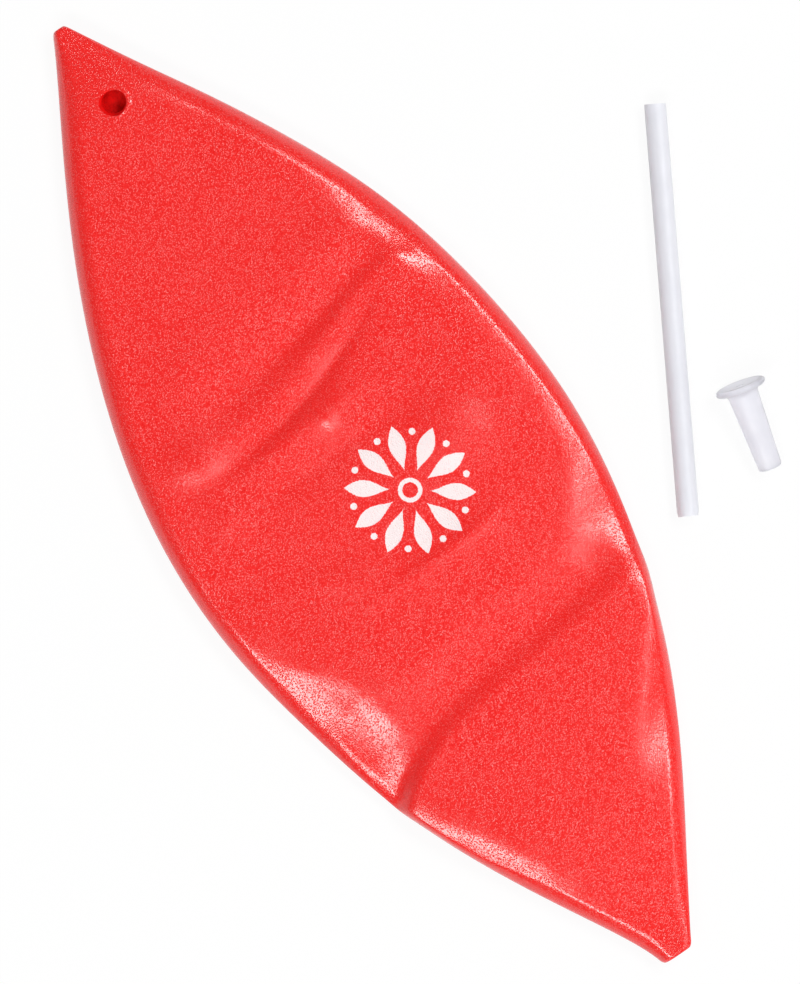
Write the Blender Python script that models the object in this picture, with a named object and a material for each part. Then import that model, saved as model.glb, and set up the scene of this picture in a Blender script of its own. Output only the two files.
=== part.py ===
"""A small soft exercise ball, let down and folded flat, with its loose inflation straw and stopper plug.

The origin is the middle of the flat underside, +Z is up, +Y points along the ball's long axis to the tip with the
valve hole, and +X points to the side where the straw and the plug lie. All sizes are in millimetres and are turned
into metres when a mesh is made.

The skin is one closed moulding of a sphere. Let down, it lies in three lobes of two layers each, one over the other.
They share a rounded spine on the -X side, with the folds between them tucked in behind it, and end in three folds on
the +X side. The top lobe is the widest, and its fold rolls down over the other two.
"""

import math
from dataclasses import dataclass

import bmesh
import bpy
from mathutils import Matrix, Vector
from mathutils.geometry import delaunay_2d_cdt

MM = 0.001

# The ball: the leaf's length is half the circumference of the moulded sphere, less what the blunt tips cut off.
BALL_DIAMETER = 180.0
WALL = 0.8
TIP_RUN_OFF = 2.5
HALF_LENGTH = math.pi * BALL_DIAMETER / 4.0 - TIP_RUN_OFF
HALF_WIDTH = 53.35
FAR_END_FULLNESS = 0.8
RIGHT_SKEW = 0.5
LEFT_FULLNESS = 1.2
FAR_TIP_BLUNTNESS = 1.7
VALVE_TIP_BLUNTNESS = 0.4
FAR_TIP_SHIFT = 2.2
VALVE_TIP_SHIFT = 0.7

# The three lobes.
CAVITY_GAP = 0.45
CAVITY_PLUMP = 0.35
SLOT_GAP = 0.45
MIDDLE_LOBE_SHARE = 0.87
LOWER_LOBE_SHARE = 0.82
TIP_SOLID = 7.0

# The top lobe's fold on the +X side: the reach and the drop of its roll, and the turn under it.
ROLL_REACH = 8.0
ROLL_DROP = 4.6
FOLD_DEPTH = 1.5
FOLD_REACH = 2.4

# The spine on the -X side: the reach of its upper part, and the height and reach of its lower part.
SPINE_REACH = 7.0
SPINE_FOOT_HEIGHT = 3.2
SPINE_FOOT_REACH = 3.8
TUCK_CLEARANCE = 0.75
TUCK_SHARE = 0.3

# How far the crosswise creases and the crown move the top layer.
CROWN = 1.8

# The valve: a bore through a thickened place of the top layer.
VALVE_X = 0.5
VALVE_FROM_TIP = 22.9
VALVE_Y = HALF_LENGTH - VALVE_FROM_TIP
BORE_DIAMETER = 6.1
MOUTH_DIAMETER = 6.7
MOUTH_DEPTH = 0.35
BOSS_DEPTH = 2.5
BOSS_RADIUS = 4.4
BOSS_BLEND = 3.2
BOSS_CLEARANCE = 0.7
RISE_BLEND = 9.5

# The straw.
STRAW_LENGTH = 103.3
STRAW_DIAMETER = 5.5
STRAW_WALL = 0.55
STRAW_EDGE = 0.12
STRAW_X = 86.6
STRAW_Y = -4.92
STRAW_HEADING = math.radians(-29.54)

# The plug: a thin wide head on a tapered shank.
PLUG_LENGTH = 22.6
HEAD_DIAMETER = 12.9
HEAD_THICKNESS = 1.3
HEAD_DISH = 0.4
HEAD_CONE = 0.7
SHANK_DIAMETER = 7.6
SHANK_TIP_DIAMETER = 5.9
SHANK_TIP_ROUNDING = 0.5
PLUG_X = 90.01
PLUG_Y = -29.71
PLUG_HEADING = math.radians(166.9)

# Steps across the folds of one section of the skin, and sides of the turned pieces.
PLATEAU_STEPS = 8
ROLL_STEPS = 5
TURN_STEPS = 3
UNDER_STEPS = 9
FOLD_STEPS = 4
SPINE_STEPS = 4
STRAW_SIDES = 32
PLUG_SIDES = 40


def smooth(t):
    """Rises from 0 to 1 with level ends."""
    t = min(1.0, max(0.0, t))
    return t * t * (3.0 - 2.0 * t)


def bell(t):
    """Falls from 1 at 0 to nothing on both sides."""
    return math.exp(-t * t)


def quarter(t):
    """How far a quarter circle has dropped when it has gone the share t of its radius."""
    return 1.0 - math.sqrt(max(0.0, 1.0 - t * t))


@dataclass(frozen=True)
class Crease:
    """A crosswise band of the top lobe that stands above or below the rest.

    Its line runs at y = place + slant * x + bow * x * x, and hooks back beyond x = -20. It has its full height on
    that line at the middle, and fades over half_width across the line and over reach along it.
    """

    place: float
    slant: float
    bow: float
    hook: float
    half_width: float
    height: float
    middle: float
    reach: float

    def at(self, x, y):
        hooked = self.hook * max(0.0, -x - 20.0) ** 2
        line = self.place + self.slant * x + self.bow * x * x - hooked
        return self.height * bell((y - line) / self.half_width) * bell((x - self.middle) / self.reach)


MAIN_VALLEY = Crease(-54.5, 0.165, -0.0022, 0.008, 4.0, -1.7, 0.0, 200.0)
BROAD_VALLEY = Crease(38.5, 0.19, 0.0, 0.0, 5.0, -0.9, 2.0, 34.0)
NARROW_VALLEY = Crease(27.7, 0.27, 0.0045, 0.0, 3.0, -1.2, -5.0, 30.0)
SLANT_VALLEY = Crease(-11.5, -0.3, 0.0, 0.0, 6.0, -0.5, -25.0, 18.0)
UPPER_BAND = Crease(17.0, 0.05, 0.0, 0.0, 5.0, 0.7, -5.0, 32.0)
LOWER_BAND = Crease(-27.5, 0.09, 0.0, 0.0, 4.0, 0.6, 8.0, 24.0)
BROW = Crease(-44.0, 0.1, 0.0, 0.0, 7.0, 0.7, 2.0, 26.0)
CREASES = (MAIN_VALLEY, BROAD_VALLEY, NARROW_VALLEY, SLANT_VALLEY, UPPER_BAND, LOWER_BAND, BROW)


@dataclass(frozen=True)
class Swing:
    """A stretch where an edge of the leaf stands out from its even curve, or in where the amount is negative."""

    place: float
    reach: float
    amount: float

    def at(self, y):
        return self.amount * bell((y - self.place) / self.reach)


# Where the folded edges swing out and in: the far end is fuller, and the -X edge gives way above the main valley.
FULL_FAR_LEFT = Swing(-125.0, 48.0, 1.35)
LEFT_KNUCKLE = Swing(-71.0, 4.0, 0.25)
LEFT_GIVE = Swing(-43.0, 24.0, -1.1)
LEFT_BELLY = Swing(18.0, 38.0, 0.85)
LEFT_SWINGS = (FULL_FAR_LEFT, LEFT_KNUCKLE, LEFT_GIVE, LEFT_BELLY)
FULL_FAR_TIP = Swing(-135.0, 12.0, 0.55)
FULL_FAR_RIGHT = Swing(-78.0, 32.0, 0.85)
RIGHT_KNUCKLE = Swing(-55.0, 6.0, 0.4)
RIGHT_MIDDLE = Swing(-12.0, 26.0, 0.3)
RIGHT_BELLY = Swing(62.0, 30.0, 1.1)
SLIM_VALVE_END = Swing(122.0, 16.0, -0.6)
RIGHT_SWINGS = (FULL_FAR_TIP, FULL_FAR_RIGHT, RIGHT_KNUCKLE, RIGHT_MIDDLE, RIGHT_BELLY, SLIM_VALVE_END)


def edges(y):
    """Left and right edge of the leaf outline at the place y along the axis."""
    phase = math.pi * (y + HALF_LENGTH + TIP_RUN_OFF) / (2.0 * (HALF_LENGTH + TIP_RUN_OFF))
    from_far = y + HALF_LENGTH
    from_valve = HALF_LENGTH - y
    half = HALF_WIDTH * math.sin(phase) + FAR_END_FULLNESS * math.sin(2.0 * phase)
    blunt = FAR_TIP_BLUNTNESS * math.exp(-from_far / 6.0) + VALVE_TIP_BLUNTNESS * math.exp(-from_valve / 6.0)
    shift = -FAR_TIP_SHIFT * math.exp(-from_far / 14.0) - VALVE_TIP_SHIFT * math.exp(-from_valve / 12.0)
    right = half + RIGHT_SKEW * math.sin(3.0 * phase) + blunt + shift + sum(swing.at(y) for swing in RIGHT_SWINGS)
    left = -half - LEFT_FULLNESS * math.sin(3.0 * phase) - blunt + shift - sum(swing.at(y) for swing in LEFT_SWINGS)
    return left, right


def roll_reach(y, width):
    """Reach of the roll on the +X side: wide above the main valley and towards the far tip, narrow at the valley."""
    brow = 6.0 * bell((y - MAIN_VALLEY.place - 12.5) / 8.0)
    pinch = -2.5 * bell((y - MAIN_VALLEY.place + 6.0) / 8.0)
    far = 4.0 * smooth((MAIN_VALLEY.place - 12.0 - y) / 20.0)
    return min(ROLL_REACH + brow + pinch + far, 0.14 * width)


def spine_reach(y, width):
    """Reach of the upper part of the spine: a wide slope falls to the -X edge above the main valley."""
    slope = 8.0 * bell((y - MAIN_VALLEY.place - 9.0) / 9.0)
    far = 3.5 * smooth((-20.0 - y) / 30.0)
    return min(SPINE_REACH + slope + far, 0.25 * width)


def buckle(x, y, left, right):
    """Height of the top layer over its lowest possible place."""
    inside = smooth((x - left) / 8.0) * smooth((right - x) / 8.0)
    along = smooth((HALF_LENGTH - abs(y)) / 45.0)
    height = CROWN + sum(crease.at(x, y) for crease in CREASES)
    return max(0.0, height) * inside * along


def from_valve(x, y):
    """Distance from the middle of the valve hole."""
    return math.hypot(x - VALVE_X, y - VALVE_Y)


def valve_rise(x, y):
    """How far the top layer stands up to make room for the boss under it."""
    rise = BOSS_DEPTH - WALL + BOSS_CLEARANCE - CAVITY_GAP
    return rise * (1.0 - smooth((from_valve(x, y) - BOSS_RADIUS) / RISE_BLEND))


def boss(x, y):
    """Extra thickness under the top layer at the valve."""
    return (BOSS_DEPTH - WALL) * (1.0 - smooth((from_valve(x, y) - BOSS_RADIUS) / BOSS_BLEND))


class Section:
    """The folded middle line of the skin at one place along the axis.

    Each point is (x, z, extra thickness inwards, level), where level is 1 or -1 at the end of a layer whose outward
    side is straight up or down there, and 0 anywhere else. Layers are numbered from the top.
    """

    def __init__(self, y):
        self.y = y
        self.left, self.right = edges(y)
        self.width = self.right - self.left
        self.pitch_in = WALL + CAVITY_GAP + CAVITY_PLUMP * smooth(self.width / 100.0)
        self.pitch_out = WALL + SLOT_GAP
        self.heights = self.layer_heights()
        self.rim = self.right - 0.5 * WALL
        self.spine = self.left + 0.5 * WALL
        self.roll = roll_reach(y, self.width)
        share = max(0.0, min(self.roll, 0.12 * self.width) - 1.0) / (ROLL_REACH - 1.0)
        self.drop = self.eased(ROLL_DROP, share)
        self.turn_depth = self.eased(FOLD_DEPTH, share)
        self.turn_reach = self.eased(FOLD_REACH, share)
        self.plateau_start = self.spine + spine_reach(y, self.width)
        self.plateau_end = self.rim - self.roll
        self.middle_end = self.left + MIDDLE_LOBE_SHARE * self.width - 0.5 * (WALL + self.pitch_in)
        self.lower_end = self.left + LOWER_LOBE_SHARE * self.width - 0.5 * (WALL + self.pitch_in)
        self.points = []
        self.trace()

    def layer_heights(self):
        """Heights of the six layers where nothing is buckled, from the top down."""
        heights = [0.5 * WALL]
        for step in (self.pitch_in, self.pitch_out, self.pitch_in, self.pitch_out, self.pitch_in):
            heights.append(heights[-1] + step)
        return heights[::-1]

    def eased(self, full, share):
        """A size of the top fold, which turns into half the distance of two layers where the leaf is narrow."""
        least = 0.5 * self.pitch_in
        return least + (full - least) * min(1.0, share)

    def top(self, x):
        """Height of the first layer at x, on the plateau or on the roll."""
        run = max(0.0, (x - self.plateau_end) / self.roll)
        wave = buckle(x, self.y, self.left, self.right)
        return self.heights[0] + wave + valve_rise(x, self.y) - self.drop * quarter(run)

    def under(self, x):
        """Height of the second layer at x."""
        low = self.heights[0] - self.drop - self.turn_depth
        run = smooth((x - self.middle_end) / (self.rim - self.turn_reach - self.middle_end))
        wave = 0.45 * buckle(x, self.y, self.left, self.right)
        return self.heights[1] + wave - (self.heights[1] - low) * run

    def tuck(self):
        """Where the folds between the lobes start, clear of the spine, or near the fold where a tip is solid."""
        clearance = TUCK_CLEARANCE * (0.55 + 0.45 * smooth(self.width / 30.0))
        place = self.spine + WALL + clearance + 0.5 * self.pitch_out
        place += TUCK_SHARE * (self.plateau_start - self.spine)
        run_out = smooth(1.0 - (HALF_LENGTH - abs(self.y)) / TIP_SOLID)
        return place + (self.lower_end - 0.2 - place) * run_out

    def add(self, x, z, level=0, extra=0.0):
        self.points.append((x, z, extra, level))

    def hairpin(self, x, above, below, reach, side):
        """Points between the ends of two layers at x, on the side +1 or -1."""
        middle, half = 0.5 * (above + below), 0.5 * (above - below)
        for k in range(1, FOLD_STEPS):
            angle = math.pi * k / FOLD_STEPS
            self.add(x + side * reach * math.sin(angle), middle + half * math.cos(angle))

    def trace_top_lobe(self, tuck):
        """From the spine along the top, down the roll, round the turn and back along the second layer."""
        for k in range(PLATEAU_STEPS + 1):
            share = 0.5 - 0.5 * math.cos(math.pi * k / PLATEAU_STEPS)
            x = self.plateau_start + (self.plateau_end - self.plateau_start) * share
            self.add(x, self.top(x), 1 if k == 0 else 0, boss(x, self.y))
        for k in range(1, ROLL_STEPS + 1):
            x = self.plateau_end + self.roll * math.sin(0.5 * math.pi * k / ROLL_STEPS)
            self.add(x, self.top(x), 0, boss(x, self.y))
        low = self.heights[0] - self.drop
        for k in range(1, TURN_STEPS + 1):
            angle = 0.5 * math.pi * k / TURN_STEPS
            x = self.rim - self.turn_reach * (1.0 - math.cos(angle))
            self.add(x, low - self.turn_depth * math.sin(angle), -1 if k == TURN_STEPS else 0)
        reach = self.rim - self.turn_reach - tuck
        for k in range(UNDER_STEPS - 1, -1, -1):
            x = tuck + reach * math.sin(0.5 * math.pi * k / UNDER_STEPS)
            self.add(x, self.under(x), -1 if k == 0 else 0)

    def trace(self):
        tuck = self.tuck()
        fold_in, fold_out = 0.5 * self.pitch_in, 0.5 * self.pitch_out
        self.trace_top_lobe(tuck)
        self.hairpin(tuck, self.points[-1][1], self.heights[2], fold_out, -1)
        self.add(tuck, self.heights[2], 1)
        self.add(self.middle_end, self.heights[2], 1)
        self.hairpin(self.middle_end, self.heights[2], self.heights[3], fold_in, 1)
        self.add(self.middle_end, self.heights[3], -1)
        self.add(tuck, self.heights[3], -1)
        self.hairpin(tuck, self.heights[3], self.heights[4], fold_out, -1)
        self.add(tuck, self.heights[4], 1)
        self.add(self.lower_end, self.heights[4], 1)
        self.hairpin(self.lower_end, self.heights[4], self.heights[5], fold_in, 1)
        foot = self.spine + min(SPINE_FOOT_REACH, 0.3 * self.width)
        for share in (1.0, 0.67, 0.33, 0.0):
            self.add(foot + (self.lower_end - foot) * share, self.heights[5], -1)
        self.trace_spine(foot)

    def trace_spine(self, foot):
        """Up the -X side: a quarter turn to the spine's outermost place, and a quarter turn on to the top."""
        crown = self.points[0][1]
        widest = self.heights[5] + min(SPINE_FOOT_HEIGHT, 0.5 * (crown - self.heights[5]))
        for k in range(1, SPINE_STEPS + 1):
            angle = 0.5 * math.pi * k / SPINE_STEPS
            x = self.spine + (foot - self.spine) * (1.0 - math.sin(angle))
            self.add(x, self.heights[5] + (widest - self.heights[5]) * (1.0 - math.cos(angle)))
        for k in range(1, SPINE_STEPS):
            angle = 0.5 * math.pi * k / SPINE_STEPS
            x = self.spine + (self.plateau_start - self.spine) * (1.0 - math.cos(angle))
            self.add(x, widest + (crown - widest) * math.sin(angle))

    def offset(self, distance, with_boss):
        """The line moved by distance along its outward normal, as (x, z)."""
        count = len(self.points)
        moved = []
        for i, (x, z, extra, level) in enumerate(self.points):
            before = Vector(self.points[i - 1][:2])
            after = Vector(self.points[(i + 1) % count][:2])
            here = Vector((x, z))
            first = (here - before).normalized()
            second = (after - here).normalized()
            if level:
                normal = Vector((0.0, float(level)))
                stretch = 1.0
            else:
                normal = Vector((-first.y - second.y, first.x + second.x)).normalized()
                stretch = min(1.2, 1.0 / max(0.5, normal.dot(Vector((-first.y, first.x)))))
            push = distance * stretch - (extra if with_boss else 0.0)
            moved.append((x + normal.x * push, z + normal.y * push))
        return moved

    def middle(self):
        """Middle of the section, about which a tip is rounded off."""
        return 0.5 * (self.left + self.right), 0.5 * max(point[1] for point in self.points)


def stations():
    """Places of the hollow sections: close together at the creases, the valve and the tips, far apart elsewhere."""
    limits = (
        (-HALF_LENGTH + TIP_SOLID, 4.5),
        (-HALF_LENGTH + TIP_SOLID + 13.0, 10.0),
        (MAIN_VALLEY.place - 16.0, 3.8),
        (MAIN_VALLEY.place + 14.0, 8.0),
        (UPPER_BAND.place - 12.0, 4.2),
        (BROAD_VALLEY.place + 12.0, 10.0),
        (VALVE_Y - 12.0, 2.8),
        (VALVE_Y + 12.0, 2.8),
        (HALF_LENGTH - TIP_SOLID, 1.0),
    )
    places = []
    for (start, step), (end, _) in zip(limits, limits[1:]):
        count = max(1, round((end - start) / step))
        places += [start + (end - start) * k / count for k in range(count)]
    return places + [HALF_LENGTH - TIP_SOLID]


def blunt_end(side):
    """Sections of a tip from the hollow outwards, as (place, scale about the section's middle)."""
    rings = ((0.5, 1.0), (0.16, 0.97), (0.05, 0.86), (0.0, 0.68))
    return [(side * (HALF_LENGTH - TIP_SOLID * back), scale) for back, scale in rings]


def ring_of(bm, section, distance, with_boss, scale=1.0):
    """A closed ring of points on one side of the skin at one section."""
    centre = section.middle()
    ring = []
    for x, z in section.offset(distance, with_boss):
        x = centre[0] + (x - centre[0]) * scale
        z = centre[1] + (z - centre[1]) * scale
        ring.append(bm.verts.new((x * MM, section.y * MM, z * MM)))
    return ring


def bridge(bm, rings):
    """Faces between each ring and the next."""
    made = []
    for first, second in zip(rings, rings[1:]):
        count = len(first)
        for i in range(count):
            j = (i + 1) % count
            made.append(bm.faces.new((first[i], first[j], second[j], second[i])))
    return made


def cap(bm, ring):
    """Closes a folded ring, whose points share one place along the axis, with triangles inside it."""
    count = len(ring)
    flat = [Vector((vert.co.x, vert.co.z)) / MM for vert in ring]
    border = [(i, (i + 1) % count) for i in range(count)]
    triangles = delaunay_2d_cdt(flat, border, [list(range(count))], 1, 1e-6)[2]
    return [bm.faces.new([ring[i] for i in corners]) for corners in triangles]


def material(name, colour, roughness):
    made = bpy.data.materials.new(name)
    made.use_nodes = True
    shader = made.node_tree.nodes["Principled BSDF"]
    shader.inputs["Base Color"].default_value = (*colour, 1.0)
    shader.inputs["Roughness"].default_value = roughness
    return made


def object_from(bm, name, made_of, sharp=40.0):
    """Puts the mesh into the scene as a smooth-shaded object."""
    mesh = bpy.data.meshes.new(name)
    bm.to_mesh(mesh)
    bm.free()
    mesh.materials.append(made_of)
    mesh.shade_smooth()
    mesh.set_sharp_from_angle(angle=math.radians(sharp))
    made = bpy.data.objects.new(name, mesh)
    bpy.context.scene.collection.objects.link(made)
    return made


def ball_skin():
    """The hollow folded skin, open only through the valve bore."""
    bm = bmesh.new()
    hollow = [Section(place) for place in stations()]
    far = [ring_of(bm, Section(place), 0.5 * WALL, False, scale) for place, scale in blunt_end(-1.0)]
    near = [ring_of(bm, Section(place), 0.5 * WALL, False, scale) for place, scale in blunt_end(1.0)]
    outer = far[::-1] + [ring_of(bm, section, 0.5 * WALL, False) for section in hollow] + near
    inner = [ring_of(bm, section, -0.5 * WALL, True) for section in hollow]
    outside = bridge(bm, outer) + cap(bm, outer[0]) + cap(bm, outer[-1])
    inside = bridge(bm, inner) + cap(bm, inner[0]) + cap(bm, inner[-1])
    bmesh.ops.recalc_face_normals(bm, faces=outside)
    bmesh.ops.recalc_face_normals(bm, faces=inside)
    bmesh.ops.reverse_faces(bm, faces=inside)
    skin = object_from(bm, "ball_skin", material("soft red PVC", (0.9, 0.035, 0.03), 0.38), 60.0)
    cut = skin.modifiers.new("valve bore", "BOOLEAN")
    cut.operation = "DIFFERENCE"
    cut.solver = "EXACT"
    cut.object = bore_cutter()
    return skin


def turned(profile, sides):
    """A solid of revolution about the local Z axis, from (radius, height) points. A closed profile gives a ring."""
    bm = bmesh.new()
    verts = [bm.verts.new((radius * MM, 0.0, height * MM)) for radius, height in profile]
    lines = [bm.edges.new(pair) for pair in zip(verts, verts[1:])]
    if profile[0][0] > 0.0 and profile[-1][0] > 0.0:
        lines.append(bm.edges.new((verts[-1], verts[0])))
    bmesh.ops.spin(
        bm,
        geom=verts + lines,
        axis=(0.0, 0.0, 1.0),
        cent=(0.0, 0.0, 0.0),
        angle=2.0 * math.pi,
        steps=sides,
        use_merge=True,
    )
    bmesh.ops.remove_doubles(bm, verts=bm.verts, dist=1e-6)
    bmesh.ops.recalc_face_normals(bm, faces=bm.faces)
    return bm


def bore_cutter():
    """What the valve bore and its flared mouth take out of the skin."""
    section = Section(VALVE_Y)
    top = section.top(VALVE_X) + 0.5 * WALL
    foot = section.under(VALVE_X) + 0.5 * WALL + 0.5 * BOSS_CLEARANCE
    over = 3.0
    profile = (
        (0.0, foot),
        (0.5 * BORE_DIAMETER, foot),
        (0.5 * BORE_DIAMETER, top - MOUTH_DEPTH),
        (0.5 * MOUTH_DIAMETER, top),
        (0.5 * MOUTH_DIAMETER, top + over),
        (0.0, top + over),
    )
    cutter = object_from(turned(profile, 32), "bore_cutter", material("cutter", (0.2, 0.2, 0.2), 0.5))
    cutter.location = (VALVE_X * MM, VALVE_Y * MM, 0.0)
    cutter.hide_render = True
    cutter.display_type = "WIRE"
    return cutter


def inflation_straw():
    """A thin round tube, open at both ends, lying on the surface."""
    outer = 0.5 * STRAW_DIAMETER
    inner = outer - STRAW_WALL
    end = 0.5 * STRAW_LENGTH
    profile = [
        (inner, STRAW_EDGE - end),
        (inner + STRAW_EDGE, -end),
        (outer - STRAW_EDGE, -end),
        (outer, STRAW_EDGE - end),
        (outer, end - STRAW_EDGE),
        (outer - STRAW_EDGE, end),
        (inner + STRAW_EDGE, end),
        (inner, end - STRAW_EDGE),
    ]
    made_of = material("translucent white polypropylene", (0.86, 0.87, 0.9), 0.3)
    straw = object_from(turned(profile, STRAW_SIDES), "inflation_straw", made_of)
    straw.location = (STRAW_X * MM, STRAW_Y * MM, outer * MM)
    straw.rotation_euler = (-0.5 * math.pi, 0.0, STRAW_HEADING)
    return straw


def stopper_plug():
    """A tapered pin with a thin wide head, lying on its head's rim and on its tip."""
    head = 0.5 * HEAD_DIAMETER
    shank = 0.5 * SHANK_DIAMETER
    tip = 0.5 * SHANK_TIP_DIAMETER
    neck = HEAD_THICKNESS + HEAD_CONE
    rim_place = 0.6 * HEAD_THICKNESS
    profile = [
        (0.0, HEAD_DISH),
        (0.45 * head, 0.75 * HEAD_DISH),
        (0.72 * head, 0.2 * HEAD_DISH),
        (0.9 * head, 0.0),
        (0.97 * head, 0.25 * HEAD_THICKNESS),
        (head, rim_place),
        (0.98 * head, 0.9 * HEAD_THICKNESS),
        (0.91 * head, 1.1 * HEAD_THICKNESS),
        (shank + 0.7, neck - 0.25),
        (shank + 0.15, neck + 0.3),
        (shank, neck + 1.0),
        (tip, PLUG_LENGTH - SHANK_TIP_ROUNDING),
        (tip - 0.3 * SHANK_TIP_ROUNDING, PLUG_LENGTH - 0.3 * SHANK_TIP_ROUNDING),
        (tip - SHANK_TIP_ROUNDING, PLUG_LENGTH),
        (0.0, PLUG_LENGTH),
    ]
    plug = object_from(turned(profile, PLUG_SIDES), "stopper_plug", material("frosted plastic", (0.88, 0.88, 0.92), 0.4))
    run = PLUG_LENGTH - SHANK_TIP_ROUNDING - rim_place
    slope = math.asin((head - tip) / math.hypot(run, head - tip))
    lift = head * math.cos(slope) + rim_place * math.sin(slope)
    plug.location = (PLUG_X * MM, PLUG_Y * MM, lift * MM)
    plug.rotation_euler = (-0.5 * math.pi - slope, 0.0, PLUG_HEADING)
    return plug


def main():
    for old in list(bpy.data.objects):
        bpy.data.objects.remove(old, do_unlink=True)
    ball_skin()
    inflation_straw()
    stopper_plug()


main()
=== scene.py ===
"""Looks of a small soft exercise ball, let down and folded flat, with its inflation straw and stopper plug.

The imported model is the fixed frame. Sizes are in millimetres, in the frame's own axes: the origin is the
middle of the flat underside, +Y points along the folded ball to the tip with the valve hole, and +X to the
straw and the plug.
"""

import logging
import math
from collections.abc import Callable, Iterable, Sequence
from dataclasses import dataclass, field
from enum import Enum

import bpy
import numpy as np
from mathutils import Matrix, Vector, noise


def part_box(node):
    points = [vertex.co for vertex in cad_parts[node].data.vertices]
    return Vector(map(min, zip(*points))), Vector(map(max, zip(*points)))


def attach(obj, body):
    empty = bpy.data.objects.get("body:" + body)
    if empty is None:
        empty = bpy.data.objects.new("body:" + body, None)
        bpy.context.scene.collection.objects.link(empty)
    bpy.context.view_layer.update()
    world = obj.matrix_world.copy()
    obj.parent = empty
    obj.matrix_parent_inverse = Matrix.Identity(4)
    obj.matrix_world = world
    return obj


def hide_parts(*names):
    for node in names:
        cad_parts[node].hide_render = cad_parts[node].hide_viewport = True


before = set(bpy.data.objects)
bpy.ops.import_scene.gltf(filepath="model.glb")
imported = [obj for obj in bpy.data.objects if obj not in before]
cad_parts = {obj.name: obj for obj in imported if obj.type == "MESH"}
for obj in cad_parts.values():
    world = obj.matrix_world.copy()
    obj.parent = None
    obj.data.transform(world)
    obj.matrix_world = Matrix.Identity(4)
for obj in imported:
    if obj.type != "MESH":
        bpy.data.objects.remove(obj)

LOG = logging.getLogger("folded_ball")
MM = 0.001
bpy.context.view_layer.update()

Colour = tuple[float, float, float]
Point = tuple[float, float]
Piece = bpy.types.Object
Socket = bpy.types.NodeSocket

# Vertices closer than this, in metres, are the same vertex.
WELD = 1e-6
# Where the share, the two colours and the result stand among the sockets of a Mix node.
MIX_SHARE, MIX_FIRST, MIX_SECOND, MIX_RESULT = 0, 6, 7, 2
PVC_IOR = 1.54
PLASTIC_IOR = 1.49
WHITE = (1.0, 1.0, 1.0, 1.0)


# The bench: what every piece is modelled with.


def smooth(value: np.ndarray | float) -> np.ndarray:
    """Rises from 0 to 1 with level ends.

    Args:
        value: Where on the rise, taken as 0 below 0 and as 1 above 1.

    Returns:
        The height of the rise.
    """
    inside = np.clip(value, 0.0, 1.0)
    return inside * inside * (3.0 - 2.0 * inside)


def bell(value: np.ndarray | float) -> np.ndarray:
    """Falls from 1 at 0 to nothing on both sides.

    Args:
        value: How far out, where 1 is the half width.

    Returns:
        The height of the bell.
    """
    return np.exp(-np.square(value))


def through(place: np.ndarray | float, points: Sequence[Point]) -> np.ndarray:
    """Reads a curve that runs smoothly through given points, and stays level beyond its ends.

    Args:
        place: Where it is read.
        points: (place, value) in rising order.

    Returns:
        The value there.
    """
    places, values = (np.array(column, dtype=float) for column in zip(*points))
    slopes = np.gradient(values, places)
    slopes[0] = slopes[-1] = 0.0
    index = np.clip(np.searchsorted(places, place) - 1, 0, len(places) - 2)
    gap = places[index + 1] - places[index]
    share = np.clip((place - places[index]) / gap, 0.0, 1.0)
    rest = 1.0 - share
    value = values[index] * (1.0 + 2.0 * share) * rest**2 + values[index + 1] * (3.0 - 2.0 * share) * share**2
    return value + gap * share * rest * (slopes[index] * rest - slopes[index + 1] * share)


def clear_selection() -> None:
    """Deselects every object, so that an operator acts only on what is made next."""
    bpy.ops.object.select_all(action="DESELECT")


def take(piece: Piece) -> None:
    """Makes a piece the only selected and the active one.

    Args:
        piece: The object to work on.
    """
    clear_selection()
    piece.select_set(True)
    bpy.context.view_layer.objects.active = piece


def select_where(piece: Piece, test: Callable[[Vector], bool]) -> None:
    """Opens a piece in edit mode with the vertices selected that pass a test.

    Args:
        piece: The object to edit.
        test: Says of a place in metres whether the vertex there is wanted.
    """
    take(piece)
    bpy.ops.object.mode_set(mode="EDIT")
    bpy.ops.mesh.select_mode(type="VERT")
    bpy.ops.mesh.select_all(action="DESELECT")
    close_edit()
    for vert in piece.data.vertices:
        vert.select = test(vert.co)
    bpy.ops.object.mode_set(mode="EDIT")


def everything(_place: Vector) -> bool:
    """Wants every vertex."""
    return True


def close_edit() -> None:
    """Leaves edit mode."""
    bpy.ops.object.mode_set(mode="OBJECT")


def dress(piece: Piece, material: bpy.types.Material) -> None:
    """Gives a piece its one material."""
    piece.data.materials.clear()
    piece.data.materials.append(material)


def middle_of(node: str) -> tuple[float, ...]:
    """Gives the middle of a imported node, in millimetres."""
    low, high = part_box(node)
    return tuple(round(value / MM, 3) for value in 0.5 * (low + high))


def apply_modifier(piece: Piece, kind: str, **settings: object) -> None:
    """Adds a modifier and applies it at once.

    Args:
        piece: The object that is modified.
        kind: The modifier's type, in Blender's own word.
        **settings: The modifier's values.
    """
    take(piece)
    made = piece.modifiers.new(kind.lower(), kind)
    for key, value in settings.items():
        setattr(made, key, value)
    bpy.ops.object.modifier_apply(modifier=made.name)


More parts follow.
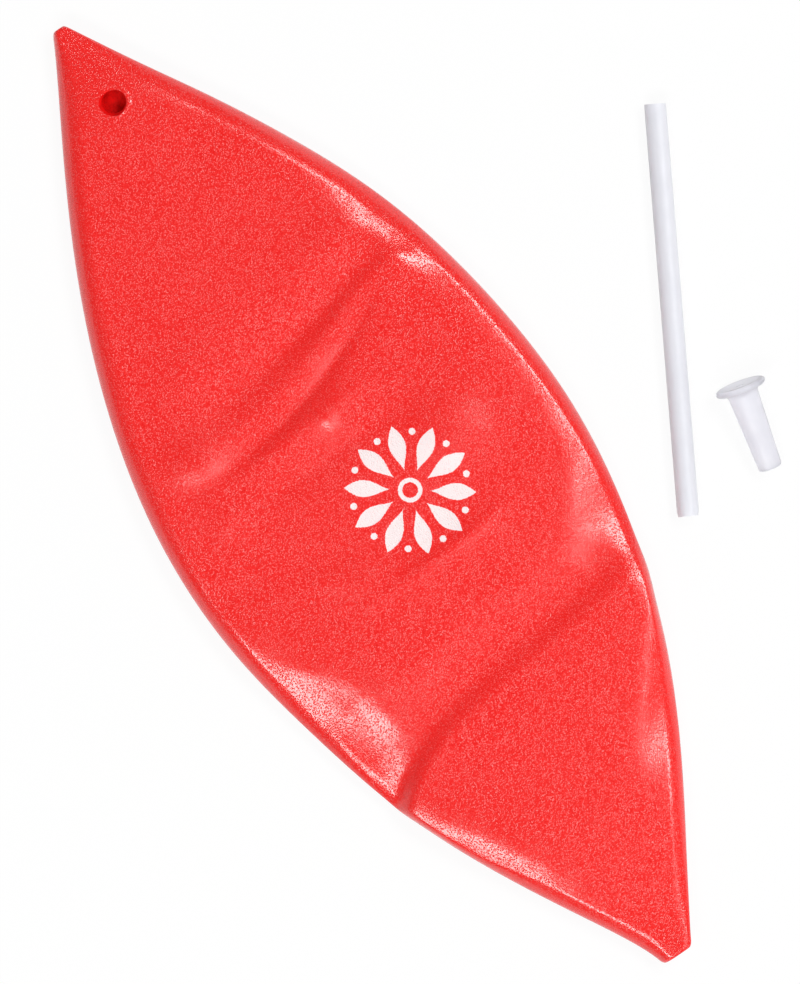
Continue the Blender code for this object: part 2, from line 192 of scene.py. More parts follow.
def turn_on_axis(name: str, profile: Sequence[Point], sides: int) -> Piece:
    """Turns a solid about the Z axis: a vertex is drawn along the profile, and the line is spun round.

    Args:
        name: The new object's name.
        profile: (radius, height) in millimetres, in order along the profile.
        sides: How many sides the turned piece has.

    Returns:
        The turned object, closed, with its faces outwards.
    """
    clear_selection()
    bpy.ops.mesh.primitive_plane_add(size=MM, location=(0.0, 0.0, 0.0))
    piece = bpy.context.active_object
    piece.name = piece.data.name = name
    bpy.ops.object.mode_set(mode="EDIT")
    bpy.ops.mesh.select_mode(type="VERT")
    bpy.ops.mesh.select_all(action="SELECT")
    bpy.ops.mesh.merge(type="CENTER")
    bpy.ops.transform.translate(value=(profile[0][0] * MM, 0.0, profile[0][1] * MM))
    for (radius, height), (next_radius, next_height) in zip(profile, profile[1:]):
        step = ((next_radius - radius) * MM, 0.0, (next_height - height) * MM)
        bpy.ops.mesh.extrude_vertices_move(TRANSFORM_OT_translate={"value": step})
    bpy.ops.mesh.select_all(action="SELECT")
    bpy.ops.mesh.spin(steps=sides, angle=2.0 * math.pi, center=(0.0, 0.0, 0.0), axis=(0.0, 0.0, 1.0))
    bpy.ops.mesh.select_all(action="SELECT")
    bpy.ops.mesh.remove_doubles(threshold=WELD)
    bpy.ops.mesh.normals_make_consistent(inside=False)
    bpy.ops.object.mode_set(mode="OBJECT")
    return piece


def set_down(piece: Piece, place: Vector, turn: tuple[float, float, float]) -> None:
    """Turns and places a piece, and keeps the place in its mesh.

    Args:
        piece: An object modelled about the origin.
        place: Where its origin goes, in millimetres.
        turn: Its turn about X, Y and Z in radians.
    """
    take(piece)
    piece.rotation_euler = turn
    piece.location = place * MM
    bpy.ops.object.transform_apply(location=True, rotation=True, scale=True)


def finish_piece(piece: Piece, body: str, node: str, angle: float) -> None:
    """Shades a piece, and ties it to the frame.

    Args:
        piece: The finished object.
        body: The body that it moves with.
        node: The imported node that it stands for.
        angle: Edges sharper than this, in degrees, stay sharp.
    """
    take(piece)
    bpy.ops.object.shade_smooth_by_angle(angle=math.radians(angle))
    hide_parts(node)
    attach(piece, body)
    low = [round(min(corner[i] for corner in piece.bound_box) / MM, 2) for i in range(3)]
    high = [round(max(corner[i] for corner in piece.bound_box) / MM, 2) for i in range(3)]
    LOG.info("%s: %d faces, %s to %s mm", piece.name, len(piece.data.polygons), low, high)


# Finishes.


class Recipe:
    """A node tree, with short ways to add and join its nodes."""

    def __init__(self, owner: bpy.types.Material | bpy.types.World) -> None:
        """Opens the tree of a material or a world.

        Args:
            owner: What the tree belongs to.
        """
        owner.use_nodes = True
        self.owner = owner
        self.tree = owner.node_tree

    @classmethod
    def finish(cls, name: str) -> "Recipe":
        """Starts a new material."""
        return cls(bpy.data.materials.new(name))

    def feed(self, node: bpy.types.Node, inputs: dict[str | int, object]) -> None:
        """Puts values or other nodes' outputs into a node.

        Args:
            node: The node.
            inputs: A number, a tuple or an output socket for each input, by name or number.
        """
        for key, value in inputs.items():
            if isinstance(value, Socket):
                self.tree.links.new(value, node.inputs[key])
            else:
                node.inputs[key].default_value = value

    def wire(
        self, kind: str, output: str | int, inputs: dict[str | int, object], **settings: object
    ) -> Socket:
        """Adds a node and feeds it.

        Args:
            kind: The node's type.
            output: Which output is wanted, by name or number.
            inputs: What goes into the node.
            **settings: Values of the node itself.

        Returns:
            The output.
        """
        made = self.tree.nodes.new(kind)
        for key, value in settings.items():
            setattr(made, key, value)
        self.feed(made, inputs)
        return made.outputs[output]

    def math(self, operation: str, *values: object, clamp: bool = False) -> Socket:
        """Does one sum with numbers or sockets."""
        return self.wire("ShaderNodeMath", 0, dict(enumerate(values)), operation=operation, use_clamp=clamp)

    def add(self, first: object, second: object) -> Socket:
        """Adds two values."""
        return self.math("ADD", first, second)

    def less(self, first: object, second: object) -> Socket:
        """Takes the second value from the first."""
        return self.math("SUBTRACT", first, second)

    def times(self, first: object, second: object) -> Socket:
        """Multiplies two values."""
        return self.math("MULTIPLY", first, second)

    def largest(self, first: object, *others: object) -> Socket:
        """Gives the largest of some values."""
        for other in others:
            first = self.math("MAXIMUM", first, other)
        return first

    def distance(self, across: object, along: object) -> Socket:
        """Gives how far a point stands from the middle."""
        return self.math("SQRT", self.add(self.times(across, across), self.times(along, along)))

    def axis(self, vector: Socket, index: int) -> Socket:
        """Gives one coordinate of a place."""
        return self.wire("ShaderNodeSeparateXYZ", index, {0: vector})

    def ray(self, kind: str) -> Socket:
        """Gives 1 to rays of one kind, and 0 to others."""
        return self.wire("ShaderNodeLightPath", f"Is {kind} Ray", {})

    def ramp(self, value: object, start: float, end: float, low: float = 0.0, high: float = 1.0) -> Socket:
        """Maps the range from start to end smoothly on the range from low to high."""
        inputs = {"Value": value, "From Min": start, "From Max": end, "To Min": low, "To Max": high}
        return self.wire("ShaderNodeMapRange", "Result", inputs, interpolation_type="SMOOTHSTEP")

    def mix(self, share: object, first: object, second: object) -> Socket:
        """Mixes two colours, with a share of the second."""
        first, second = (value if isinstance(value, Socket) else (*value, 1.0) for value in (first, second))
        inputs = {MIX_SHARE: share, MIX_FIRST: first, MIX_SECOND: second}
        return self.wire("ShaderNodeMix", MIX_RESULT, inputs, data_type="RGBA")

    def mapped(self, vector: Socket, changes: dict[str, object]) -> Socket:
        """Moves, turns or scales a place."""
        return self.wire("ShaderNodeMapping", "Vector", {"Vector": vector, **changes}, vector_type="POINT")

    def place(self, move: Sequence[float] = (0.0, 0.0, 0.0), turn: float = 0.0) -> Socket:
        """Gives a place on the piece in millimetres, in axes of its own.

        Args:
            move: The point that becomes the middle, in millimetres.
            turn: The heading about Z, in radians, that becomes the new Y axis.

        Returns:
            The place as a vector.
        """
        source = self.wire("ShaderNodeTexCoord", "Object", {})
        here = self.mapped(source, {"Location": tuple(-value for value in move), "Scale": (1.0 / MM,) * 3})
        return self.mapped(here, {"Rotation": (0.0, 0.0, -turn)}) if turn else here

    def clouds(self, vector: Socket, pitch: float, detail: float = 2.0) -> Socket:
        """Gives soft noise about 0.5, with blots of a size in millimetres."""
        return self.wire("ShaderNodeTexNoise", 0, {"Vector": vector, "Scale": 1.0 / pitch, "Detail": detail})

    def cells(self, vector: Socket, pitch: float, softness: float) -> Socket:
        """Gives rounded cells at a distance in millimetres, such as the pits of a moulded grain."""
        inputs = {"Vector": vector, "Scale": 1.0 / pitch, "Smoothness": softness}
        return self.wire("ShaderNodeTexVoronoi", "Distance", inputs, feature="SMOOTH_F1")

    def bump(self, height: Socket, depth: float) -> Socket:
        """Gives the normal of a raised surface, where a height of 1 stands for the depth in millimetres."""
        inputs = {"Strength": 1.0, "Distance": depth * MM, "Height": height}
        return self.wire("ShaderNodeBump", "Normal", inputs)

    def coat(self, looks: dict[str, object]) -> bpy.types.Material:
        """Feeds the surface shader, and gives the finished material."""
        self.feed(self.tree.nodes["Principled BSDF"], looks)
        return self.owner


@dataclass(frozen=True)
class Rosette:
    """The print on the top lobe: petals round a small ring, with a dot between each two petals.

    Attributes:
        middle: The middle of the print, in millimetres.
        petals: How many petals it has.
        inner: Where the petals begin.
        outer: Where the petals end.
        half_width: Half the width of a petal.
        ring: The radius of the small ring.
        ring_half_width: Half the width of the small ring's line.
        dot: The radius of a dot.
        dot_ring: The radius on which the dots stand.
        lowest: Only what is higher than this is printed.
        edge: Where the edge of the ink begins and where the ink is full.
        point: How thin the petals' points are drawn.
    """

    middle: Point = (7.3, -5.4)
    petals: int = 10
    inner: float = 4.6
    outer: float = 16.6
    half_width: float = 2.1
    ring: float = 2.5
    ring_half_width: float = 0.55
    dot: float = 0.85
    dot_ring: float = 14.6
    lowest: float = 6.8
    edge: Point = (-0.08, 0.1)
    point: float = 0.12

    def mask(self, recipe: Recipe, wear: Socket) -> Socket:
        """Draws the print.

        Args:
            recipe: The material that it is drawn in.
            wear: By how many millimetres the edge of the ink moves.

        Returns:
            1 on the ink and 0 off it.
        """
        here = recipe.place((*self.middle, 0.0))
        across, along, height = (recipe.axis(here, index) for index in range(3))
        radius = recipe.distance(across, along)
        turn = recipe.times(recipe.math("ARCTAN2", along, across), self.petals / (2.0 * math.pi))
        petal = recipe.less(self.petal_width(recipe, radius), self.beside(recipe, radius, turn, 0.0))
        off_ring = recipe.math("ABSOLUTE", recipe.less(radius, self.ring))
        ring = recipe.less(self.ring_half_width, off_ring)
        out, side = recipe.less(radius, self.dot_ring), self.beside(recipe, radius, turn, 0.5)
        dot = recipe.less(self.dot, recipe.distance(out, side))
        ink = recipe.ramp(recipe.add(recipe.largest(petal, ring, dot), wear), *self.edge)
        return recipe.times(ink, recipe.math("GREATER_THAN", height, self.lowest))

    def beside(
        self, recipe: Recipe, radius: Socket, turn: Socket, start: float
    ) -> Socket:
        """Gives the distance from the nearest spoke.

        Args:
            recipe: The material.
            radius: The distance from the middle.
            turn: The turn round the middle, in spokes.
            start: Where the first spoke stands, in spokes.

        Returns:
            The sideways distance in millimetres.
        """
        share = recipe.less(recipe.math("FRACT", recipe.add(turn, start + 0.5)), 0.5)
        angle = recipe.times(share, 2.0 * math.pi / self.petals)
        return recipe.math("ABSOLUTE", recipe.times(radius, recipe.math("SINE", angle)))

    def petal_width(self, recipe: Recipe, radius: Socket) -> Socket:
        """Gives half the width of a petal at a distance from the middle."""
        run = self.outer - self.inner
        share = recipe.math("DIVIDE", recipe.less(radius, self.inner), run, clamp=True)
        leaf = recipe.math("SINE", recipe.times(recipe.math("POWER", share, 1.35), math.pi))
        return recipe.less(recipe.times(leaf, self.half_width + self.point), self.point)


@dataclass(frozen=True)
class PebbledPvc:
    """Soft red PVC with a fine moulded grain of pits, with painted shade that makes it a little darker where
    the grain lies low, and a print in white ink.

    Attributes:
        red: Its colour.
        deep: The darker colour painted where the grain lies low, as painted shade.
        ink: The colour of the print.
        gloss: Its roughness between the pits.
        matt: Its roughness in the pits.
        pit: The distance between pits.
        grain_depth: How deep the grain is.
        patch: The size of the patches in which the grain is a little deeper or shallower.
        glint: How strongly it mirrors.
        print: What is printed on it.
    """

    red: Colour = (0.89, 0.031, 0.028)
    # Painted shade: the grain's low places are painted in this darker red.
    deep: Colour = (0.83, 0.012, 0.01)
    ink: Colour = (0.93, 0.80, 0.80)
    gloss: float = 0.12
    matt: float = 0.55
    pit: float = 0.43
    grain_depth: float = 0.09
    patch: float = 7.0
    glint: float = 0.7
    print: Rosette = field(default_factory=Rosette)

    def material(self, name: str) -> bpy.types.Material:
        """Builds the finish.

        Args:
            name: The material's name.

        Returns:
            The material.
        """
        recipe = Recipe.finish(name)
        here = recipe.place()
        pits = recipe.ramp(recipe.cells(here, self.pit, 0.3), 0.1, 0.5)
        ripple = recipe.clouds(here, 0.86 * self.pit, 1.0)
        uneven = recipe.clouds(here, self.patch, 2.0)
        grain = recipe.add(recipe.times(pits, 0.7), recipe.times(ripple, 0.5))
        height = recipe.times(grain, recipe.ramp(uneven, 0.3, 0.7, 0.85, 1.05))
        # Painted shade: the colour turns to deep where the grain's ripple lies low.
        plain = recipe.mix(recipe.ramp(ripple, 0.3, 0.7, 1.0, 0.0), self.red, self.deep)
        ink = self.print.mask(recipe, recipe.times(recipe.less(ripple, 0.5), 0.35))
        cover = recipe.times(ink, recipe.ramp(grain, 0.3, 0.7, 0.72, 1.0))
        rough = recipe.ramp(grain, 0.4, 0.9, self.matt, self.gloss)
        rough = recipe.add(rough, recipe.ramp(uneven, 0.35, 0.7, -0.01, 0.02))
        return recipe.coat(
            {
                "Base Color": recipe.mix(cover, plain, self.ink),
                "Roughness": recipe.add(rough, recipe.times(ink, 0.08)),
                "IOR": PVC_IOR,
                "Specular IOR Level": self.glint,
                "Normal": recipe.bump(height, self.grain_depth),
            }
        )


@dataclass(frozen=True)
class SmoothShadedBore:
    """The same PVC down in the valve's bore, where a steel pin left it dull and without grain, and painted a
    darker, deeper red as the shade down there.

    Attributes:
        red: Its colour, darker and deeper than the skin's, as painted shade.
        dark: Its colour in blotches.
        roughness: Its roughness.
        glint: How strongly it mirrors.
    """

    # Painted shade: darker and deeper than the skin's red, for the shade down in the bore.
    red: Colour = (0.84, 0.003, 0.003)
    dark: Colour = (0.70, 0.002, 0.002)
    roughness: float = 0.55
    glint: float = 0.12

    def material(self, name: str) -> bpy.types.Material:
        """Builds the finish.

        Args:
            name: The material's name.

        Returns:
            The material.
        """
        recipe = Recipe.finish(name)
        here = recipe.place()
        blotch = recipe.clouds(here, 1.6, 2.0)
        return recipe.coat(
            {
                "Base Color": recipe.mix(recipe.ramp(blotch, 0.35, 0.7), self.red, self.dark),
                "Roughness": recipe.ramp(blotch, 0.3, 0.7, self.roughness, self.roughness + 0.1),
                "IOR": PVC_IOR,
                "Specular IOR Level": self.glint,
                "Normal": recipe.bump(recipe.clouds(here, 0.5, 2.0), 0.02),
            }
        )


@dataclass(frozen=True)
class FrostedPlastic:
    """Cloudy translucent plastic, drawn or moulded, with faint lengthwise lines.

    Attributes:
        body: Its colour.
        shade: Its colour where the plastic is thicker or cloudier.
        roughness: Its roughness.
        clearness: How much light goes through it.
        middle: The middle of the piece, in millimetres.
        heading: The piece's direction about Z, in radians.
        lines: The distance between the lengthwise lines.
        line_depth: How deep they are.
    """

    body: Colour
    shade: Colour
    roughness: float
    clearness: float
    middle: tuple[float, float, float]
    heading: float
    lines: float
    line_depth: float

    def material(self, name: str) -> bpy.types.Material:
        """Builds the finish.

        Args:
            name: The material's name.

        Returns:
            The material.
        """
        recipe = Recipe.finish(name)
        here = recipe.place(self.middle, self.heading)
        drawn = recipe.clouds(recipe.mapped(here, {"Scale": (1.0, 0.03, 1.0)}), self.lines, 3.0)
        cloud = recipe.clouds(here, 5.0, 3.0)
        height = recipe.add(drawn, recipe.times(recipe.clouds(here, 0.35, 2.0), 0.35))
        tint = recipe.add(recipe.ramp(cloud, 0.3, 0.75, 0.0, 0.7), recipe.ramp(drawn, 0.45, 0.75, 0.0, 0.3))
        return recipe.coat(
            {
                "Base Color": recipe.mix(tint, self.body, self.shade),
                "Roughness": recipe.ramp(cloud, 0.3, 0.7, self.roughness - 0.04, self.roughness + 0.06),
                "Transmission Weight": self.clearness,
                "IOR": PLASTIC_IOR,
                "Normal": recipe.bump(height, self.line_depth),
            }
        )


# The folded skin.

# How full and how blunt the leaf's outline is, and how far its tips lean to one side.
FAR_END_FULLNESS, RIGHT_SKEW, LEFT_FULLNESS = 0.8, 0.5, 1.2
FAR_TIP_BLUNTNESS, VALVE_TIP_BLUNTNESS, BLUNT_REACH = 1.7, 0.4, 6.0
FAR_TIP_SHIFT, FAR_SHIFT_REACH = 2.2, 14.0
VALVE_TIP_SHIFT, VALVE_SHIFT_REACH = 0.7, 12.0
# Over what length the relief dies away towards a tip and towards an edge, and how low a bevel may go.
TIP_FADE, EDGE_FADE, LOWEST_BEVEL = 45.0, 6.0, -4.2
# How far a crease's line runs on past its points, and how often it may bend.
ROUTE_RUN_ON, ROUTE_BENDS = 6.0, 4
# Where the top begins to rise towards the valve, and over what length.
RISE_START, RISE_LENGTH = 3.0, 22.0
# The burr on the rim of the valve hole.
BURR_HEIGHT, BURR_OUTSET, BURR_WIDTH = 0.36, 0.6, 0.55
# The waves in the bore's outline: how deep, how many, and where they start.
BORE_WAVES = ((0.035, 2.0, 0.5), (0.02, 3.0, -0.8), (0.008, 9.0, 0.0))
# The bore reaches this far below the skin, with this slope on its floor.
BORE_OVERRUN, FLOOR_SLANT = 2.0, 0.2
# Which faces seen through the bore take its darker finish as painted shade: how far beyond its wall, above
# what height and how far below the top.
SHADED_BEYOND, SHADED_FROM, SHADED_BELOW_TOP = 0.6, 1.0, 1.5
# The rounding of the tips, and how much it draws their last section in.
TIP_ROUNDING, TIP_SQUEEZE = 1.2, 0.17
# At the valve the top lobe lies above this height, and the others lie below it.
TOP_LOBE_FLOOR = 8.0


@dataclass(frozen=True)
class Pleat:
    """A crease across the top lobe: a ridge where its height is positive, and a valley where it is negative.

    Attributes:
        line: Points on its line, from -X to +X, in millimetres.
        height: (x, height) along the line.
        upper: (x, width) of its slope on the +Y side.
        lower: (x, width) of its slope on the -Y side.
        crest: How round its line is, in millimetres.
        fade: Over what length it dies away at each end.
        straight: Whether its slopes are straight above and rounded below, and not hollow.
    """

    line: tuple[Point, ...]
    height: tuple[Point, ...]
    upper: tuple[Point, ...]
    lower: tuple[Point, ...]
    crest: float = 0.6
    fade: float = 10.0
    straight: bool = False

    def route(self, x: np.ndarray) -> np.ndarray:
        """Gives the line's y at x, as one smooth curve."""
        places, heights = zip(*self.line)
        curve = np.polynomial.Polynomial.fit(places, heights, min(ROUTE_BENDS, len(places) - 1))
        return curve(np.clip(x, places[0] - ROUTE_RUN_ON, places[-1] + ROUTE_RUN_ON))

    def at(self, x: np.ndarray, y: float) -> np.ndarray:
        """Gives how far the crease moves the surface.

        Args:
            x: Places across the ball, in millimetres.
            y: The place along the ball.

        Returns:
            The height at each place.
        """
        away = y - self.route(x)
        width = np.where(away > 0.0, through(x, self.upper), through(x, self.lower))
        reach = (np.sqrt(away * away + self.crest * self.crest) - self.crest) / width
        if self.straight:
            even = np.where(away > 0.0, 0.65, 0.15)
            shape = (1.0 - even) * smooth(1.0 - reach) + even * np.clip(1.0 - reach, 0.0, 1.0)
        else:
            shape = np.exp(-reach)
        start, end = self.line[0][0], self.line[-1][0]
        present = smooth((x - start) / self.fade + 1.0) * smooth((end - x) / self.fade + 1.0)
        return through(x, self.height) * shape * present


@dataclass(frozen=True)
class Swell:
    """A low rounded rise or dent in the top lobe.

    Attributes:
        middle: Its middle, in millimetres.
        reach: Its half widths along and across its own axis.
        height: How high it stands.
        turn: The direction of its axis about Z, in degrees.
    """

    middle: Point
    reach: Point
    height: float
    turn: float = 0.0

    def at(self, x: np.ndarray, y: float) -> np.ndarray:
        """Gives how far the swell moves the surface.

        Args:
            x: Places across the ball, in millimetres.
            y: The place along the ball.

        Returns:
            The height at each place.
        """
        cosine, sine = math.cos(math.radians(self.turn)), math.sin(math.radians(self.turn))
        right, up = x - self.middle[0], y - self.middle[1]
        along = (right * cosine + up * sine) / self.reach[0]
        across = (up * cosine - right * sine) / self.reach[1]
        return self.height * np.exp(-along * along - across * across)


@dataclass(frozen=True)
class Swing:
    """A stretch where an edge of the leaf stands out from its even curve, or in where the amount is negative.

    Attributes:
        place: Its middle along the ball, in millimetres.
        reach: Its half length.
        amount: How far it stands out.
    """

    place: float
    reach: float
    amount: float

    def at(self, y: float) -> float:
        """Gives how far the edge stands out at one place along the ball."""
        return self.amount * float(bell((y - self.place) / self.reach))


class Side(Enum):
    """A long edge of the folded ball."""

    MINUS_X = -1
    PLUS_X = 1


@dataclass(frozen=True)
class EdgeSlope:
    """A flat bevel inside an edge of the top lobe, where the skin slopes down before it rolls over.

    Attributes:
        side: The edge that it runs along.
        reach: (y, how far in from the edge it begins) along the ball.
        slope: (y, its slope) along the ball.
        blend: Over what length the slope sets in.
    """

    side: Side
    reach: tuple[Point, ...]
    slope: tuple[Point, ...]
    blend: float = 2.5

    def at(self, inward: np.ndarray, y: float) -> np.ndarray:
        """Gives how far the bevel lowers the surface.

        Args:
            inward: Distances from the edge, in millimetres.
            y: The place along the ball.

        Returns:
            The drop at each place, as a negative height.
        """
        deep = float(through(y, self.reach)) - inward
        return -float(through(y, self.slope)) * 0.5 * (deep + np.sqrt(deep * deep + self.blend * self.blend))


LEFT_SWINGS: tuple[Swing, ...] = (
    Swing(-125.0, 48.0, 1.35),
    Swing(-71.0, 4.0, 0.25),
    Swing(-43.0, 24.0, -1.1),
    Swing(18.0, 38.0, 0.85),
)
RIGHT_SWINGS: tuple[Swing, ...] = (
    Swing(-135.0, 12.0, 0.55),
    Swing(-78.0, 32.0, 0.85),
    Swing(-55.0, 6.0, 0.4),
    Swing(-12.0, 26.0, 0.3),
    Swing(62.0, 30.0, 1.1),
    Swing(122.0, 16.0, -0.6),
)
EDGE_SLOPES: tuple[EdgeSlope, ...] = (
    EdgeSlope(
        Side.PLUS_X,
        (
            (-118.0, 9.0), (-106.0, 11.0), (-92.0, 13.5), (-76.0, 7.5), (-59.0, 3.2), (-42.0, 17.5),
            (-22.0, 9.0), (0.0, 7.0), (30.0, 7.5), (60.0, 9.5), (80.0, 7.0),
        ),
        (
            (-128.0, 0.03), (-110.0, 0.1), (-92.0, 0.23), (-76.0, 0.35), (-59.0, 0.31), (-42.0, 0.25),
            (-22.0, 0.22), (0.0, 0.22), (30.0, 0.17), (60.0, 0.31), (72.0, 0.2), (86.0, 0.0),
        ),
        3.6,
    ),
    EdgeSlope(
        Side.MINUS_X,
        (
            (-118.0, 7.0), (-106.0, 8.0), (-92.0, 7.0), (-76.0, 4.0), (-62.0, 9.5), (-45.0, 19.0),
            (-22.0, 7.5), (0.0, 4.0), (40.0, 3.0),
        ),
        (
            (-132.0, 0.05), (-112.0, 0.2), (-92.0, 0.31), (-76.0, 0.36), (-62.0, 0.26), (-45.0, 0.2),
            (-22.0, 0.24), (-2.0, 0.14), (40.0, 0.0),
        ),
        3.6,
    ),
)
MAIN_VALLEY = Pleat(
    line=(
        (-40.0, -68.0), (-30.0, -60.4), (-20.0, -56.4), (-10.0, -53.8), (0.0, -52.1), (10.0, -51.0),
        (20.0, -49.9), (34.0, -48.3),
    ),
    height=(
        (-44.0, -3.1), (-36.0, -3.1), (-28.0, -2.3), (-18.0, -1.75), (0.0, -1.5), (20.0, -1.6),
        (34.0, -1.5), (40.0, -1.4),
    ),
    upper=(
        (-44.0, 22.0), (-36.0, 21.0), (-28.0, 17.0), (-18.0, 13.0), (0.0, 12.5), (18.0, 12.5),
        (29.0, 11.0), (38.0, 8.0),
    ),
    lower=((-42.0, 6.0), (-20.0, 5.6), (0.0, 6.2), (20.0, 6.5), (35.0, 6.5), (44.0, 6.5)),
    crest=0.7,
    fade=9.0,
    straight=True,
)
PLEATS: tuple[Pleat, ...] = (
    # The sharp low ridge above the main valley, and the two edges of the broad facet above the print.
    Pleat(
        ((-16.0, -23.2), (8.0, -22.8), (31.0, -20.4)),
        ((-20.0, 0.6), (0.0, 1.1), (18.0, 1.2), (31.0, 0.2)),
        ((-16.0, 2.2), (31.0, 2.2)),
        ((-16.0, 4.5), (31.0, 4.5)),
        crest=0.25,
        fade=7.0,
    ),
    Pleat(
        ((-28.0, 12.6), (-10.0, 12.4), (5.0, 12.6), (27.0, 14.8)),
        ((-28.0, -0.7), (-8.0, -1.0), (8.0, -0.9), (27.0, -0.3)),
        ((-28.0, 6.0), (27.0, 7.0)),
        ((-28.0, 3.8), (27.0, 5.0)),
        crest=0.25,
        fade=8.0,
    ),
    Pleat(
        ((-34.0, 20.4), (-15.0, 21.4), (0.0, 22.6), (18.0, 21.8)),
        ((-34.0, 0.5), (-10.0, 1.3), (6.0, 1.2), (18.0, 0.3)),
        ((-34.0, 3.5), (18.0, 5.0)),
        ((-34.0, 6.0), (18.0, 7.0)),
        crest=0.5,
        fade=9.0,
    ),
    # The narrow valley, the ridge beyond it, and the broad valley.
    Pleat(
        ((-38.0, 23.0), (-15.0, 25.2), (0.0, 28.2), (12.0, 32.4), (22.0, 37.0)),
        ((-38.0, -0.2), (-24.0, -0.8), (-8.0, -1.5), (10.0, -1.6), (22.0, -0.9)),
        ((-30.0, 5.0), (10.0, 5.0), (26.0, 5.0)),
        ((-30.0, 2.6), (10.0, 2.6), (26.0, 3.0)),
        crest=0.35,
        fade=8.0,
    ),
    Pleat(
        ((-30.0, 29.0), (-15.0, 31.6), (0.0, 34.4), (14.0, 39.4), (36.0, 44.6)),
        ((-30.0, 0.4), (0.0, 0.8), (26.0, 1.1), (36.0, 1.1)),
        ((-30.0, 3.5), (32.0, 4.0)),
        ((-30.0, 5.0), (32.0, 5.0)),
        crest=1.0,
        fade=8.0,
    ),
    Pleat(
        ((-38.0, 34.2), (-10.0, 39.0), (10.0, 43.0), (28.0, 46.9)),
        ((-38.0, -0.2), (-24.0, -0.7), (-4.0, -1.7), (18.0, -1.7), (28.0, -1.1)),
        ((-28.0, 8.0), (34.0, 5.5)),
        ((-28.0, 5.0), (34.0, 3.8)),
        crest=1.6,
        fade=10.0,
    ),
    # A shallow fold that runs down from the -X edge.
    Pleat(
        ((-44.0, -1.5), (-24.0, -8.0), (-6.0, -11.0)),
        ((-44.0, -0.6), (-24.0, -0.7), (-6.0, -0.2)),
        ((-44.0, 5.0), (-6.0, 6.0)),
        ((-44.0, 5.0), (-6.0, 6.0)),
        crest=1.6,
        fade=9.0,
    ),
)
SWELLS: tuple[Swell, ...] = (
    Swell((-33.0, 31.0), (9.0, 6.5), 1.6),
    Swell((-31.0, 13.5), (8.0, 4.5), 0.9),
    Swell((24.0, 1.5), (9.0, 9.0), 1.7),
    Swell((24.0, 57.0), (11.0, 5.5), 0.9),
    Swell((-22.0, 50.0), (10.0, 6.0), 0.5),
    Swell((-22.0, -12.0), (13.0, 4.5), 0.9, -32.0),
    Swell((0.5, 20.6), (1.8, 2.4), 0.45),
    Swell((-15.0, -18.5), (3.4, 3.0), 0.35),
    Swell((-38.0, -40.0), (3.0, 9.0), 0.16, 25.0),
    Swell((-30.0, -47.0), (2.6, 6.0), 0.25, 15.0),
)


